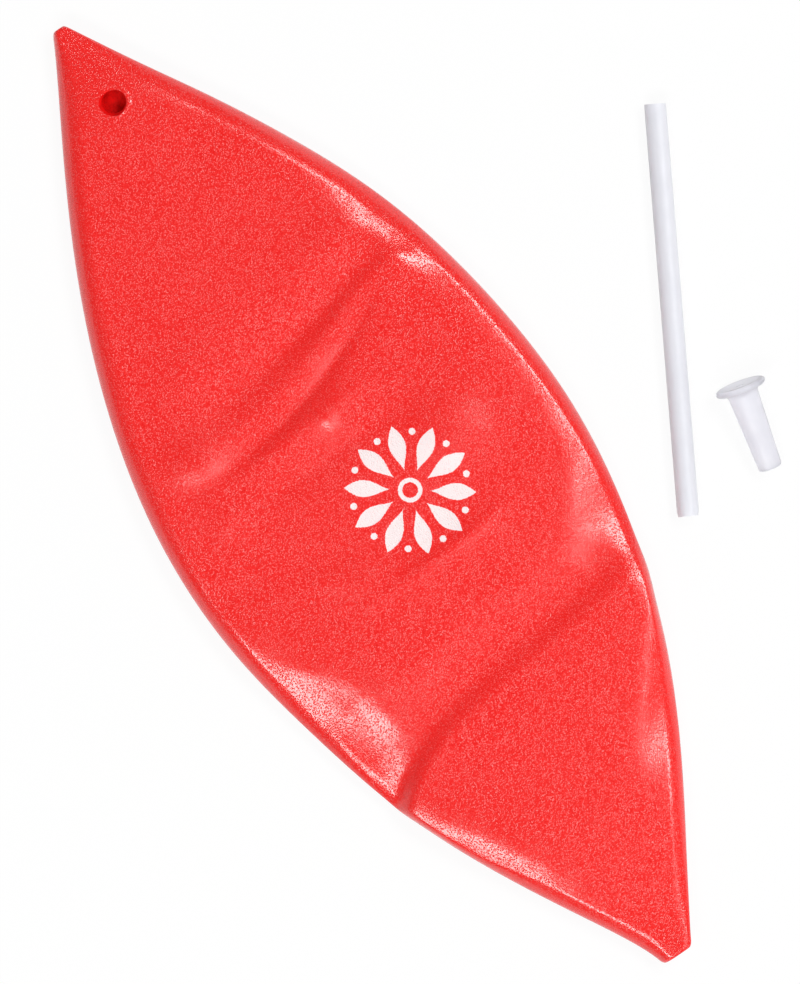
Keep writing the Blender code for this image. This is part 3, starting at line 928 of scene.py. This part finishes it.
@dataclass
class FoldedSkin:
    """The ball's skin, folded flat in three lobes that share a rounded spine on the -X side.

    Attributes:
        half_length: Half the folded ball's length.
        run_off: How much the blunt tips cut off a full leaf.
        half_width: Half its greatest width.
        wall: The thickness of the skin.
        cavity_gap: The distance between the two walls of a lobe.
        cavity_plump: What is added to it where the ball is wide.
        slot_gap: The distance between two lobes.
        crown: How far the top lobe stands above its lowest form.
        middle_lobe: Where the middle lobe's fold is, as a share of the width.
        lower_lobe: Where the lower lobe's fold is.
        slot_reach: How far in the slots between the lobes are followed.
        roll_reach: The reach of the top lobe's fold.
        roll_drop: How far it rolls down.
        turn_depth: The depth of the turn under it.
        turn_reach: The reach of the turn.
        spine_reach: The reach of the spine's upper part.
        foot_height: The height of the spine's lower part.
        foot_reach: The reach of the spine's lower part.
        tip_solid: The length at each tip where the slots run out.
        valve: The valve's place.
        valve_rise: How far the top stands up at the valve.
        bore_radius: The radius of the valve bore.
        bore_depth: The depth of the bore.
        bore_lean: How far the bore leans to +X, in degrees.
        cells_across: Mesh cells across the top.
    """

    half_length: float = 138.872
    run_off: float = 2.5
    half_width: float = 53.35
    wall: float = 0.8
    cavity_gap: float = 0.45
    cavity_plump: float = 0.35
    slot_gap: float = 0.45
    crown: float = 1.8
    middle_lobe: float = 0.87
    lower_lobe: float = 0.82
    slot_reach: float = 24.0
    roll_reach: tuple[Point, ...] = (
        (-110.0, 4.6), (-90.0, 3.8), (-75.0, 2.4), (-60.0, 2.0), (-45.0, 3.0),
        (-20.0, 3.2), (0.0, 3.9), (30.0, 4.2), (60.0, 5.0), (95.0, 7.0),
    )
    roll_drop: float = 4.6
    turn_depth: float = 1.5
    turn_reach: float = 2.4
    spine_reach: tuple[Point, ...] = (
        (-110.0, 4.2), (-90.0, 1.6), (-74.0, 1.6), (-60.0, 3.4),
        (-40.0, 3.6), (-20.0, 3.9), (0.0, 4.6), (60.0, 6.0),
    )
    foot_height: float = 3.2
    foot_reach: float = 3.8
    tip_solid: float = 7.0
    valve: Point = (0.53, 115.97)
    valve_rise: float = 1.1
    bore_radius: float = 3.05
    bore_depth: float = 2.5
    bore_lean: float = 9.0
    cells_across: int = 104

    def edges(self, y: float) -> Point:
        """Gives the left and the right edge of the leaf outline.

        Args:
            y: The place along the ball, in millimetres.

        Returns:
            The x of the -X edge and of the +X edge.
        """
        reach = self.half_length + self.run_off
        phase = math.pi * (y + reach) / (2.0 * reach)
        from_far, from_valve = self.half_length + y, self.half_length - y
        half = self.half_width * math.sin(phase) + FAR_END_FULLNESS * math.sin(2.0 * phase)
        blunt = FAR_TIP_BLUNTNESS * math.exp(-from_far / BLUNT_REACH)
        blunt += VALVE_TIP_BLUNTNESS * math.exp(-from_valve / BLUNT_REACH)
        shift = -FAR_TIP_SHIFT * math.exp(-from_far / FAR_SHIFT_REACH)
        shift -= VALVE_TIP_SHIFT * math.exp(-from_valve / VALVE_SHIFT_REACH)
        right = half + RIGHT_SKEW * math.sin(3.0 * phase) + blunt + shift
        left = -half - LEFT_FULLNESS * math.sin(3.0 * phase) - blunt + shift
        swung_right = sum(swing.at(y) for swing in RIGHT_SWINGS)
        return left - sum(swing.at(y) for swing in LEFT_SWINGS), right + swung_right

    def reaches(self, y: float, width: float) -> Point:
        """Gives how far the rounded edges reach in from the outline.

        Args:
            y: The place along the ball.
            width: The leaf's width there.

        Returns:
            The reach of the spine and of the roll.
        """
        spine, roll = float(through(y, self.spine_reach)), float(through(y, self.roll_reach))
        return min(spine, 0.3 * width), min(roll, 0.3 * width)

    def relief(self, x: np.ndarray, y: float, left: float, right: float) -> np.ndarray:
        """Gives the height of the top lobe over its lowest form.

        Args:
            x: Places across the ball.
            y: The place along it.
            left: The -X edge.
            right: The +X edge.

        Returns:
            The height at each place.
        """
        near_tip = float(smooth((self.half_length - abs(y)) / TIP_FADE))
        inside = smooth((x - left) / EDGE_FADE) * smooth((right - x) / EDGE_FADE)
        waves = sum(shape.at(x, y) for shape in (*PLEATS, *SWELLS))
        # Long shallow waves, which no crease explains, and finer dents between them.
        for i, place in enumerate(x):
            broad = noise.noise(Vector((place / 21.0, y / 13.0, 3.7)))
            dents = noise.noise(Vector((place / 6.5, y / 5.0, 9.2)))
            waves[i] += 0.16 * broad + 0.03 * dents
        inward = {Side.PLUS_X: right - x, Side.MINUS_X: x - left}
        bevels = sum(slope.at(inward[slope.side], y) for slope in EDGE_SLOPES)
        valley = MAIN_VALLEY.at(x, y)
        return near_tip * (self.crown + waves * inside + valley + np.maximum(bevels, LOWEST_BEVEL))

    def valve_ring(self, x: np.ndarray, y: float) -> np.ndarray:
        """Gives the rise of the top lobe round the valve, and the uneven burr on the rim of its hole.

        Args:
            x: Places across the ball.
            y: The place along it.

        Returns:
            The height at each place.
        """
        right, up = x - self.valve[0], y - self.valve[1]
        away = np.hypot(right, up)
        rise = self.valve_rise * (1.0 - smooth((away - RISE_START) / RISE_LENGTH))
        turn = np.arctan2(up, right)
        ragged = 0.65 + 0.2 * np.sin(7.0 * turn + 0.6) + 0.25 * np.sin(12.0 * turn + 2.1)
        one_sided = np.clip(0.35 + 0.65 * np.cos(turn + 1.1), 0.0, 1.0)
        burr = BURR_HEIGHT * bell((away - self.bore_radius - BURR_OUTSET) / BURR_WIDTH)
        return rise + burr * one_sided * ragged

    def section(self, y: float) -> tuple[np.ndarray, np.ndarray, np.ndarray]:
        """Draws the folded middle line of the skin at one place along the ball.

        Args:
            y: The place along the ball.

        Returns:
            The line's x and z, and 1 or -1 at the end of a layer whose outside is straight up or down there.
        """
        left, right = self.edges(y)
        width = right - left
        pitch_in = self.wall + self.cavity_gap + self.cavity_plump * float(smooth(width / 100.0))
        steps = (pitch_in, self.wall + self.slot_gap) * 2 + (pitch_in,)
        heights = np.concatenate(([0.0], np.cumsum(steps)))[::-1] + 0.5 * self.wall
        rim, spine = right - 0.5 * self.wall, left + 0.5 * self.wall
        spine_reach, roll = self.reaches(y, width)
        share = float(np.clip((0.12 * width - 1.0) / 7.0, 0.0, 1.0))
        full = (self.roll_drop, self.turn_depth, self.turn_reach)
        drop, depth, reach = (0.5 * pitch_in + (value - 0.5 * pitch_in) * share for value in full)
        low = heights[0] - drop
        middle_end = left + self.middle_lobe * width - 0.5 * (self.wall + pitch_in)
        lower_end = left + self.lower_lobe * width - 0.5 * (self.wall + pitch_in)
        out = float(smooth(1.0 - (self.half_length - abs(y)) / self.tip_solid))
        tuck = max(lower_end - self.slot_reach, spine + 0.25 * width)
        tuck += (lower_end - 0.2 - tuck) * out
        foot = spine + min(self.foot_reach, 0.3 * width)
        xs: list[np.ndarray] = []
        zs: list[np.ndarray] = []
        levels: list[np.ndarray] = []

        def lay(x: np.ndarray, z: np.ndarray, first: int = 0, last: int = 0) -> None:
            """Adds a stretch of the line."""
            level = np.zeros(len(x))
            level[0], level[-1] = first, last
            xs.append(x)
            zs.append(z)
            levels.append(level)

        def top(x: np.ndarray) -> np.ndarray:
            """Gives the height of the first layer."""
            return heights[0] + self.relief(x, y, left, right) + self.valve_ring(x, y)

        def hairpin(x: float, above: float, below: float, side: float, count: int) -> None:
            """Adds a half round fold between two layers."""
            angle = np.linspace(0.0, math.pi, count + 1)[1:-1]
            half = 0.5 * (above - below)
            lay(x + side * abs(half) * np.sin(angle), below + half + half * np.cos(angle))

        # Up the spine's upper part, over the top and down the roll.
        angle = np.linspace(0.0, 0.5 * math.pi, 19)[1:-1]
        widest = heights[5] + min(self.foot_height, 0.4 * (heights[0] - heights[5]))
        x = spine + spine_reach * (1.0 - np.cos(angle))
        lay(x, widest + (top(x) - widest) * np.sin(angle))
        x = np.linspace(spine + spine_reach, rim - roll, self.cells_across + 1)
        lay(x, top(x))
        angle = np.linspace(0.0, 0.5 * math.pi, 23)[1:]
        x = rim - roll + roll * np.sin(angle)
        lay(x, low + (top(x) - low) * np.cos(angle))
        # Round the turn, back along the second layer, and through the two lobes below.
        angle = np.linspace(0.0, 0.5 * math.pi, 9)[1:]
        lay(rim - reach * (1.0 - np.cos(angle)), low - depth * np.sin(angle), 0, -1)
        x = tuck + (rim - reach - tuck) * np.sin(np.linspace(0.5 * math.pi, 0.0, 19))[1:]
        fall = smooth((x - middle_end) / (rim - reach - middle_end))
        lay(x, heights[1] - (heights[1] - low + depth) * fall, 0, -1)
        hairpin(tuck, heights[1], heights[2], -1.0, 5)
        for end, upper, under in ((middle_end, 2, 3), (lower_end, 4, 5)):
            lay(np.linspace(tuck, end, 5), np.full(5, heights[upper]), 1, 1)
            hairpin(end, heights[upper], heights[under], 1.0, 10)
            if under == 3:
                lay(np.linspace(end, tuck, 5), np.full(5, heights[under]), -1, -1)
                hairpin(tuck, heights[under], heights[under + 1], -1.0, 5)
        lay(np.linspace(lower_end, foot, 22), np.full(22, heights[5]), -1, -1)
        angle = np.linspace(0.0, 0.5 * math.pi, 11)[1:]
        lay(foot - (foot - spine) * np.sin(angle), heights[5] + (widest - heights[5]) * (1.0 - np.cos(angle)))
        return np.concatenate(xs), np.concatenate(zs), np.concatenate(levels)

    def outside(self, y: float, scale: float) -> np.ndarray:
        """Gives the skin's outer line at one place along the ball.

        Args:
            y: The place along the ball.
            scale: The line's size about its own middle, for rounding off a tip.

        Returns:
            Points in metres, one row each.
        """
        x, z, level = self.section(y)
        line = np.stack((x, z), axis=1)
        ahead = np.roll(line, -1, axis=0) - line
        ahead /= np.linalg.norm(ahead, axis=1)[:, None]
        mean = ahead + np.roll(ahead, 1, axis=0)
        normal = np.stack((-mean[:, 1], mean[:, 0]), axis=1)
        normal /= np.linalg.norm(normal, axis=1)[:, None]
        normal[level != 0.0] = 0.0
        normal[:, 1] += level
        line += 0.5 * self.wall * normal
        middle = np.array((0.5 * sum(self.edges(y)), 0.5 * z.max()))
        line = middle + (line - middle) * scale
        return np.column_stack((line[:, 0], np.full(len(line), y), line[:, 1])) * MM

    def stations(self) -> list[tuple[float, float]]:
        """Gives the places of the sections, close together where the surface changes fast.

        Returns:
            (place, scale of the section) from the far tip to the valve tip.
        """
        limits = (
            (-self.half_length + TIP_ROUNDING, 1.15),
            (-72.0, 0.78),
            (-44.0, 1.05),
            (0.0, 0.88),
            (54.0, 1.25),
            (self.valve[1] - 7.0, 0.42),
            (self.valve[1] + 7.0, 1.1),
            (self.half_length - TIP_ROUNDING, 1.0),
        )
        places: list[float] = []
        for (start, step), (end, _) in zip(limits, limits[1:]):
            places.extend(np.linspace(start, end, max(1, round((end - start) / step)), endpoint=False))
        places.append(limits[-1][0])
        angles = np.linspace(0.0, 0.5 * math.pi, 7)[1:]
        tips = [
            (self.half_length - TIP_ROUNDING * (1.0 - math.sin(a)), 1.0 - TIP_SQUEEZE * (1.0 - math.cos(a)))
            for a in angles
        ]
        far = [(-place, scale) for place, scale in reversed(tips)]
        return far + [(place, 1.0) for place in places] + tips

    def sheet(self) -> Piece:
        """Rolls a fine grid round the folded line, closes its seam and its two ends.

        Returns:
            The closed skin, without its valve hole.
        """
        rows = np.array([self.outside(place, scale) for place, scale in self.stations()])
        rows = np.concatenate((rows, rows[:, :1]), axis=1)
        along, around = rows.shape[:2]
        clear_selection()
        bpy.ops.mesh.primitive_grid_add(x_subdivisions=around - 1, y_subdivisions=along - 1, size=1.0)
        skin = bpy.context.active_object
        skin.name = skin.data.name = "folded_skin"
        flat = np.empty(len(skin.data.vertices) * 3)
        skin.data.vertices.foreach_get("co", flat)
        flat = flat.reshape(-1, 3)
        column = np.rint((flat[:, 0] + 0.5) * (around - 1)).astype(int)
        row = np.rint((flat[:, 1] + 0.5) * (along - 1)).astype(int)
        skin.data.vertices.foreach_set("co", rows[row, column].ravel())
        skin.data.update()
        select_where(skin, everything)
        bpy.ops.mesh.remove_doubles(threshold=WELD)
        close_edit()
        for end in (rows[0, 0, 1], rows[-1, 0, 1]):
            select_where(skin, lambda place, end=end: abs(place.y - end) < WELD)
            bpy.ops.mesh.edge_face_add()
            bpy.ops.mesh.quads_convert_to_tris(quad_method="BEAUTY", ngon_method="BEAUTY")
            close_edit()
        select_where(skin, everything)
        bpy.ops.mesh.normals_make_consistent(inside=False)
        close_edit()
        return skin

    def valve_top(self) -> Vector:
        """Gives the middle of the valve's hole on the skin, in millimetres."""
        x, z, _ = self.section(self.valve[1])
        beneath = 10.0 * (z < TOP_LOBE_FLOOR)
        top = float(z[np.argmin(np.abs(x - self.valve[0]) + beneath)]) + 0.5 * self.wall
        return Vector((*self.valve, top))

    def boss(self) -> Piece:
        """Models the thickened ring under the skin that the valve's bore goes through.

        Returns:
            The ring, set in place.
        """
        r, d = self.bore_radius, self.bore_depth
        profile = (
            (r - 0.9, -0.55), (r - 0.9, -d), (r + 1.0, -d), (r + 1.35, -d + 0.35),
            (r + 1.35, -d + 1.0), (r + 2.2, -0.72), (r + 2.2, -0.55), (r - 0.9, -0.55),
        )
        ring = turn_on_axis("valve_boss", profile, 72)
        set_down(ring, self.valve_top(), (0.0, 0.0, 0.0))
        return ring

    def bore(self) -> Piece:
        """Models what the valve takes out of the skin: a flared mouth and a leaning bore.

        Returns:
            The cutter, set in place.
        """
        r, d = self.bore_radius, self.bore_depth
        profile = (
            (0.0, -d - BORE_OVERRUN), (r + 0.9, -d - BORE_OVERRUN), (r + 0.9, -d - 0.6),
            (r - 0.05, -d - 0.1), (r - 0.12, -0.9), (r - 0.02, -0.45), (r + 0.12, -0.16),
            (r + 0.32, 0.02), (r + 0.6, 0.5), (r + 0.7, 2.0), (0.0, 2.0),
        )
        cutter = turn_on_axis("valve_cutter", profile, 72)
        for vert in cutter.data.vertices:
            turn = math.atan2(vert.co.y, vert.co.x)
            share = sum((size * math.cos(count * turn + start) for size, count, start in BORE_WAVES), 1.0)
            vert.co.x *= share
            vert.co.y *= share
            if vert.co.z < (-d - 1.0) * MM:
                # The floor slants, so that it mirrors the wall and not the room.
                vert.co.z -= FLOOR_SLANT * vert.co.y
        set_down(cutter, self.valve_top(), (0.0, math.radians(-self.bore_lean), 0.0))
        return cutter

    def paint_bore_shade(self, skin: Piece) -> None:
        """Gives what is seen through the bore, down in the fold, the bore's finish, which paints it darker as
        shade.

        Args:
            skin: The skin, cut, with the bore's finish in its second slot.
        """
        top = self.valve_top()
        for face in skin.data.polygons:
            away = math.hypot(face.center.x / MM - top.x, face.center.y / MM - top.y)
            height = face.center.z / MM
            if away < self.bore_radius + SHADED_BEYOND and SHADED_FROM < height < top.z - SHADED_BELOW_TOP:
                face.material_index = 1

    def build(self, finish: PebbledPvc, lining: SmoothShadedBore) -> Piece:
        """Builds the skin and dresses it.

        Args:
            finish: What it is made of.
            lining: What the valve's bore looks like: dull, and painted darker as shade.

        Returns:
            The finished piece.
        """
        skin, boss, bore = self.sheet(), self.boss(), self.bore()
        # The bore's finish paints the bore and what is seen through it darker, as shade.
        outer, inner = finish.material("pebbled_red_pvc"), lining.material("smooth_bore_painted_shade")
        for piece, look in ((skin, outer), (boss, outer), (bore, inner)):
            dress(piece, look)
        for operation, tool in (("UNION", boss), ("DIFFERENCE", bore)):
            # The faces that a tool leaves in the skin keep the tool's finish, so the bore's walls take its
            # painted shade.
            settings = {"operation": operation, "solver": "EXACT", "object": tool}
            apply_modifier(skin, "BOOLEAN", material_mode="TRANSFER", **settings)
            bpy.data.objects.remove(tool, do_unlink=True)
        self.paint_bore_shade(skin)
        finish_piece(skin, "ball", "ball_skin", 48.0)
        return skin


# The straw and the plug.


@dataclass
class InflationStraw:
    """The thin round tube that the ball is blown up through.

    Attributes:
        length: Its length.
        diameter: Its outer diameter.
        wall: Its wall.
        place: The x and y of the middle of its axis.
        cuts: How often each face of a plain tube is cut, along it and round it.
        heading: Its direction about Z.
        edge: The rounding of its cut ends.
    """

    length: float = 103.3
    diameter: float = 5.5
    wall: float = 0.55
    place: Point = (86.6, -4.92)
    heading: float = math.radians(-29.54)
    edge: float = 0.14
    cuts: int = 26

    def build(self) -> Piece:
        """Builds the straw: an open cylinder with a wall, rounded at its cut ends.

        Returns:
            The finished piece.
        """
        clear_selection()
        radius, end = 0.5 * self.diameter, 0.5 * self.length
        bpy.ops.mesh.primitive_cylinder_add(
            vertices=72,
            radius=radius * MM,
            depth=self.length * MM,
            end_fill_type="NOTHING",
            location=(0.0, 0.0, 0.0),
        )
        straw = bpy.context.active_object
        straw.name = straw.data.name = "drinking_tube"
        select_where(straw, everything)
        bpy.ops.mesh.subdivide(number_cuts=self.cuts)
        close_edit()
        for vert in straw.data.vertices:
            # The rings stand close together near the ends, where the tube is rounded.
            share = 1.0 - abs(vert.co.z) / (end * MM)
            vert.co.z = math.copysign(end * MM * (1.0 - share * share), vert.co.z)
        apply_modifier(straw, "SOLIDIFY", thickness=self.wall * MM, offset=-1.0)
        limit = {"limit_method": "ANGLE", "angle_limit": math.radians(50.0)}
        apply_modifier(straw, "BEVEL", width=self.edge * MM, segments=3, **limit)
        self.relax(straw, end)
        set_down(straw, Vector((*self.place, radius)), (-0.5 * math.pi, 0.0, self.heading))
        looks = ((0.925, 0.93, 0.98), (0.885, 0.89, 0.945), 0.4, 0.3)
        finish = FrostedPlastic(*looks, middle_of("inflation_straw"), self.heading, 0.9, 0.03)
        dress(straw, finish.material("cloudy_straw_plastic"))
        finish_piece(straw, "straw", "inflation_straw", 35.0)
        return straw

    def relax(self, straw: Piece, end: float) -> None:
        """Gives the tube the slight oval and slant of a cut end, and draws its lower end in a little.

        Args:
            straw: The straight tube about the Z axis.
            end: Half its length, in millimetres.
        """
        for vert in straw.data.vertices:
            x, y, z = (value / MM for value in vert.co)
            near = float(smooth((abs(z) - end + 3.0) / 3.0))
            drawn = 1.0 - 0.095 * float(smooth((-z - end + 1.3) / 1.6)) * (z < 0.0)
            vert.co.x *= drawn - 0.012 * near
            vert.co.y *= drawn
            vert.co.z -= math.copysign(0.035 * (1.0 + x / 2.6) * near, z) * MM
        straw.data.update()


@dataclass
class StopperPlug:
    """The plug that closes the valve: a thin wide head on a tapered shank.

    Attributes:
        length: Its length.
        head: The radius of its head.
        thickness: The thickness of the head at its rim.
        dish: The depth of the hollow in the head's face.
        cone: The height of the cone under the head.
        shank: The radius of the shank under the head.
        tip: The radius of the shank at its tip.
        rounding: The rounding of the tip.
        place: The x and y of the middle of its head.
        heading: Its direction about Z.
    """

    length: float = 22.6
    head: float = 6.45
    thickness: float = 1.5
    dish: float = 0.4
    cone: float = 0.4
    shank: float = 3.8
    tip: float = 2.95
    rounding: float = 0.5
    place: Point = (90.01, -29.71)
    heading: float = math.radians(166.9)

    def profile(self) -> list[Point]:
        """Draws half the plug's section, from the middle of its face to the middle of its tip.

        Returns:
            (radius, height) points.
        """
        neck = self.thickness + self.cone
        half = 0.5 * self.thickness
        line = [(0.0, self.dish - 0.12), (0.5, self.dish - 0.1), (0.62, self.dish), (1.4, self.dish)]
        face = ((0.4, 0.9), (0.55, 0.68), (0.68, 0.38), (0.79, 0.12))
        line += [(self.head * r, self.dish * h) for r, h in face]
        for k in range(11):
            angle = math.pi * k / 10.0
            line.append((self.head - half + half * math.sin(angle), half * (1.0 - math.cos(angle))))
        for k in range(1, 9):
            share = k / 8.0
            across = self.head - half - 0.3 + (self.shank - self.head + half + 0.3) * share
            line.append((across, self.thickness + (self.cone + 0.9) * (0.3 * share + 0.7 * share**6)))
        start, end = neck + 1.0, self.length - self.rounding
        for k in range(13):
            share = k / 12.0
            line.append((self.shank + (self.tip - self.shank) * share, start + (end - start) * share))
        for k in range(1, 6):
            angle = 0.5 * math.pi * k / 5.0
            across = self.tip - self.rounding * (1.0 - math.cos(angle))
            line.append((across, end + self.rounding * math.sin(angle)))
        line += [(self.tip - self.rounding - 0.5, self.length - 0.03), (0.0, self.length - 0.1)]
        return line

    def build(self) -> Piece:
        """Builds the plug: its profile is turned, and it lies on its head's rim and its tip.

        Returns:
            The finished piece.
        """
        plug = turn_on_axis("valve_plug", self.profile(), 96)
        for vert in plug.data.vertices:
            radius = math.hypot(vert.co.x, vert.co.y)
            if radius > 0.0 and vert.co.z > (self.thickness + self.cone) * MM:
                # The line where the two halves of the mould met.
                seam = 0.05 * float(bell(vert.co.y / MM / 0.16)) * MM
                vert.co.x += math.copysign(seam, vert.co.x)
        plug.data.update()
        rim_place = 0.6 * self.thickness
        run = self.length - self.rounding - rim_place
        slope = math.asin((self.head - self.tip) / math.hypot(run, self.head - self.tip))
        lift = self.head * math.cos(slope) + rim_place * math.sin(slope)
        set_down(plug, Vector((*self.place, lift)), (-0.5 * math.pi - slope, 0.0, self.heading))
        looks = ((0.88, 0.875, 0.925), (0.82, 0.815, 0.875), 0.38, 0.72)
        finish = FrostedPlastic(*looks, middle_of("stopper_plug"), self.heading, 1.6, 0.03)
        dress(plug, finish.material("frosted_plug_plastic"))
        finish_piece(plug, "plug", "stopper_plug", 40.0)
        return plug


# The studio.


@dataclass(frozen=True)
class Softbox:
    """A rectangular studio lamp that points at the middle of the ball.

    Attributes:
        name: The lamp's name.
        azimuth: Its direction about Z from +X, in degrees.
        zenith: How far it stands from straight above, in degrees.
        width: Its width, level, in metres.
        height: Its height in metres.
        brightness: The radiance of its face.
        distance: Its distance in metres.
    """

    name: str
    azimuth: float
    zenith: float
    width: float
    height: float
    brightness: float
    distance: float = 2.4

    def build(self) -> None:
        """Hangs the lamp."""
        lamp = bpy.data.lights.new(self.name, "AREA")
        lamp.shape = "RECTANGLE"
        lamp.size, lamp.size_y = self.width, self.height
        lamp.energy = self.brightness * math.pi * self.width * self.height
        made = bpy.data.objects.new(self.name, lamp)
        bpy.context.scene.collection.objects.link(made)
        out, round_z = math.radians(self.zenith), math.radians(self.azimuth)
        level = math.sin(out)
        made.location = Vector((level * math.cos(round_z), level * math.sin(round_z), math.cos(out)))
        made.location *= self.distance
        made.rotation_euler = made.location.to_track_quat("Z", "Y").to_euler()


@dataclass
class Studio:
    """A white floor, soft lamps on both sides and a camera straight above.

    Attributes:
        floor_size: The floor's side, in metres.
        floor_share: How much of the floor's look is plain white.
        floor_grey: The floor's own brightness.
        ambient: The brightness of the room above the object.
        gloss_horizon: How high the white round the floor reaches for gloss, as the sine of its elevation.
        soft_horizon: How high it reaches for diffuse light.
        horizon_start: How high it is at full brightness.
        roll: The camera's turn about Z, in degrees.
        aim: Where the camera's axis meets the ball, in millimetres.
        distance: The camera's height in metres.
        field_height: The height of the view at the ball's top, in metres.
        top: The ball's top, in metres.
        lamps: The softboxes.
    """

    floor_size: float = 6.0
    floor_share: float = 0.92
    floor_grey: float = 0.86
    ambient: float = 0.1
    gloss_horizon: float = 0.12
    soft_horizon: float = 0.58
    horizon_start: float = 0.02
    roll: float = -34.16
    aim: Point = (4.96, -4.39)
    distance: float = 1.6
    field_height: float = 0.24482
    top: float = 0.009
    lamps: tuple[Softbox, ...] = (
        Softbox("softbox_plus_x", -1.0, 33.0, 1.52, 0.64, 11.4),
        Softbox("softbox_minus_x", 222.0, 33.0, 1.6, 0.6, 9.9),
        Softbox("softbox_minus_y", 290.0, 33.0, 1.0, 0.46, 3.1),
    )
    def floor(self) -> None:
        """Lays the floor, which looks white and keeps a faint shadow."""
        clear_selection()
        bpy.ops.mesh.primitive_plane_add(size=self.floor_size, location=(0.0, 0.0, -0.02 * MM))
        floor = bpy.context.active_object
        floor.name = floor.data.name = "white_floor"
        recipe = Recipe.finish("white_sweep")
        recipe.tree.nodes.clear()
        paint = recipe.wire("ShaderNodeBsdfDiffuse", 0, {"Color": (*(self.floor_grey,) * 3, 1.0)})
        white = recipe.wire("ShaderNodeEmission", 0, {"Color": WHITE})
        # Seen directly, in gloss or through clear plastic, it is mostly white.
        seen = recipe.largest(*(recipe.ray(kind) for kind in ("Camera", "Glossy", "Transmission")))
        share = recipe.times(seen, self.floor_share)
        mix = recipe.wire("ShaderNodeMixShader", 0, {0: share, 1: paint, 2: white})
        recipe.feed(recipe.tree.nodes.new("ShaderNodeOutputMaterial"), {"Surface": mix})
        dress(floor, recipe.owner)

    def room(self) -> None:
        """Makes the room white where it is seen near the floor, and dim above."""
        world = bpy.data.worlds.new("studio_room")
        bpy.context.scene.world = world
        recipe = Recipe(world)
        elevation = recipe.axis(recipe.wire("ShaderNodeTexCoord", "Generated", {}), 2)
        shares = [recipe.ray("Camera"), recipe.ray("Transmission")]
        # Gloss sees white only close to the floor, so that flat places stay dark in it.
        for kind, top in (("Glossy", self.gloss_horizon), ("Diffuse", self.soft_horizon)):
            white = recipe.ramp(elevation, self.horizon_start, top, 1.0, 0.0)
            shares.append(recipe.times(recipe.ray(kind), white))
        level = recipe.math("MULTIPLY_ADD", recipe.largest(*shares), 1.0 - self.ambient, self.ambient)
        recipe.feed(recipe.tree.nodes["Background"], {"Color": WHITE, "Strength": level})

    def camera(self) -> None:
        """Sets the camera straight above, turned as the photograph is."""
        lens = bpy.data.cameras.new("top_camera")
        lens.sensor_width = 36.0
        lens.lens = 36.0 * (self.distance - self.top) / self.field_height
        lens.clip_start, lens.clip_end = 0.01, 20.0
        made = bpy.data.objects.new("top_camera", lens)
        bpy.context.scene.collection.objects.link(made)
        made.location = (self.aim[0] * MM, self.aim[1] * MM, self.distance)
        made.rotation_euler = (0.0, 0.0, math.radians(self.roll))
        bpy.context.scene.camera = made

    def build(self) -> None:
        """Builds the floor, the room, the lamps and the camera."""
        bpy.context.scene.view_settings.view_transform = "Standard"
        self.floor()
        self.room()
        for lamp in self.lamps:
            lamp.build()
        self.camera()


def main() -> None:
    """Builds the pieces in order."""
    logging.basicConfig(level=logging.INFO, format="%(name)s %(message)s")
    pieces = [FoldedSkin().build(PebbledPvc(), SmoothShadedBore()), InflationStraw().build(), StopperPlug().build()]
    Studio().build()
    LOG.info("%d pieces dressed: %s", len(pieces), ", ".join(piece.name for piece in pieces))


if __name__ == "__main__":
    main()
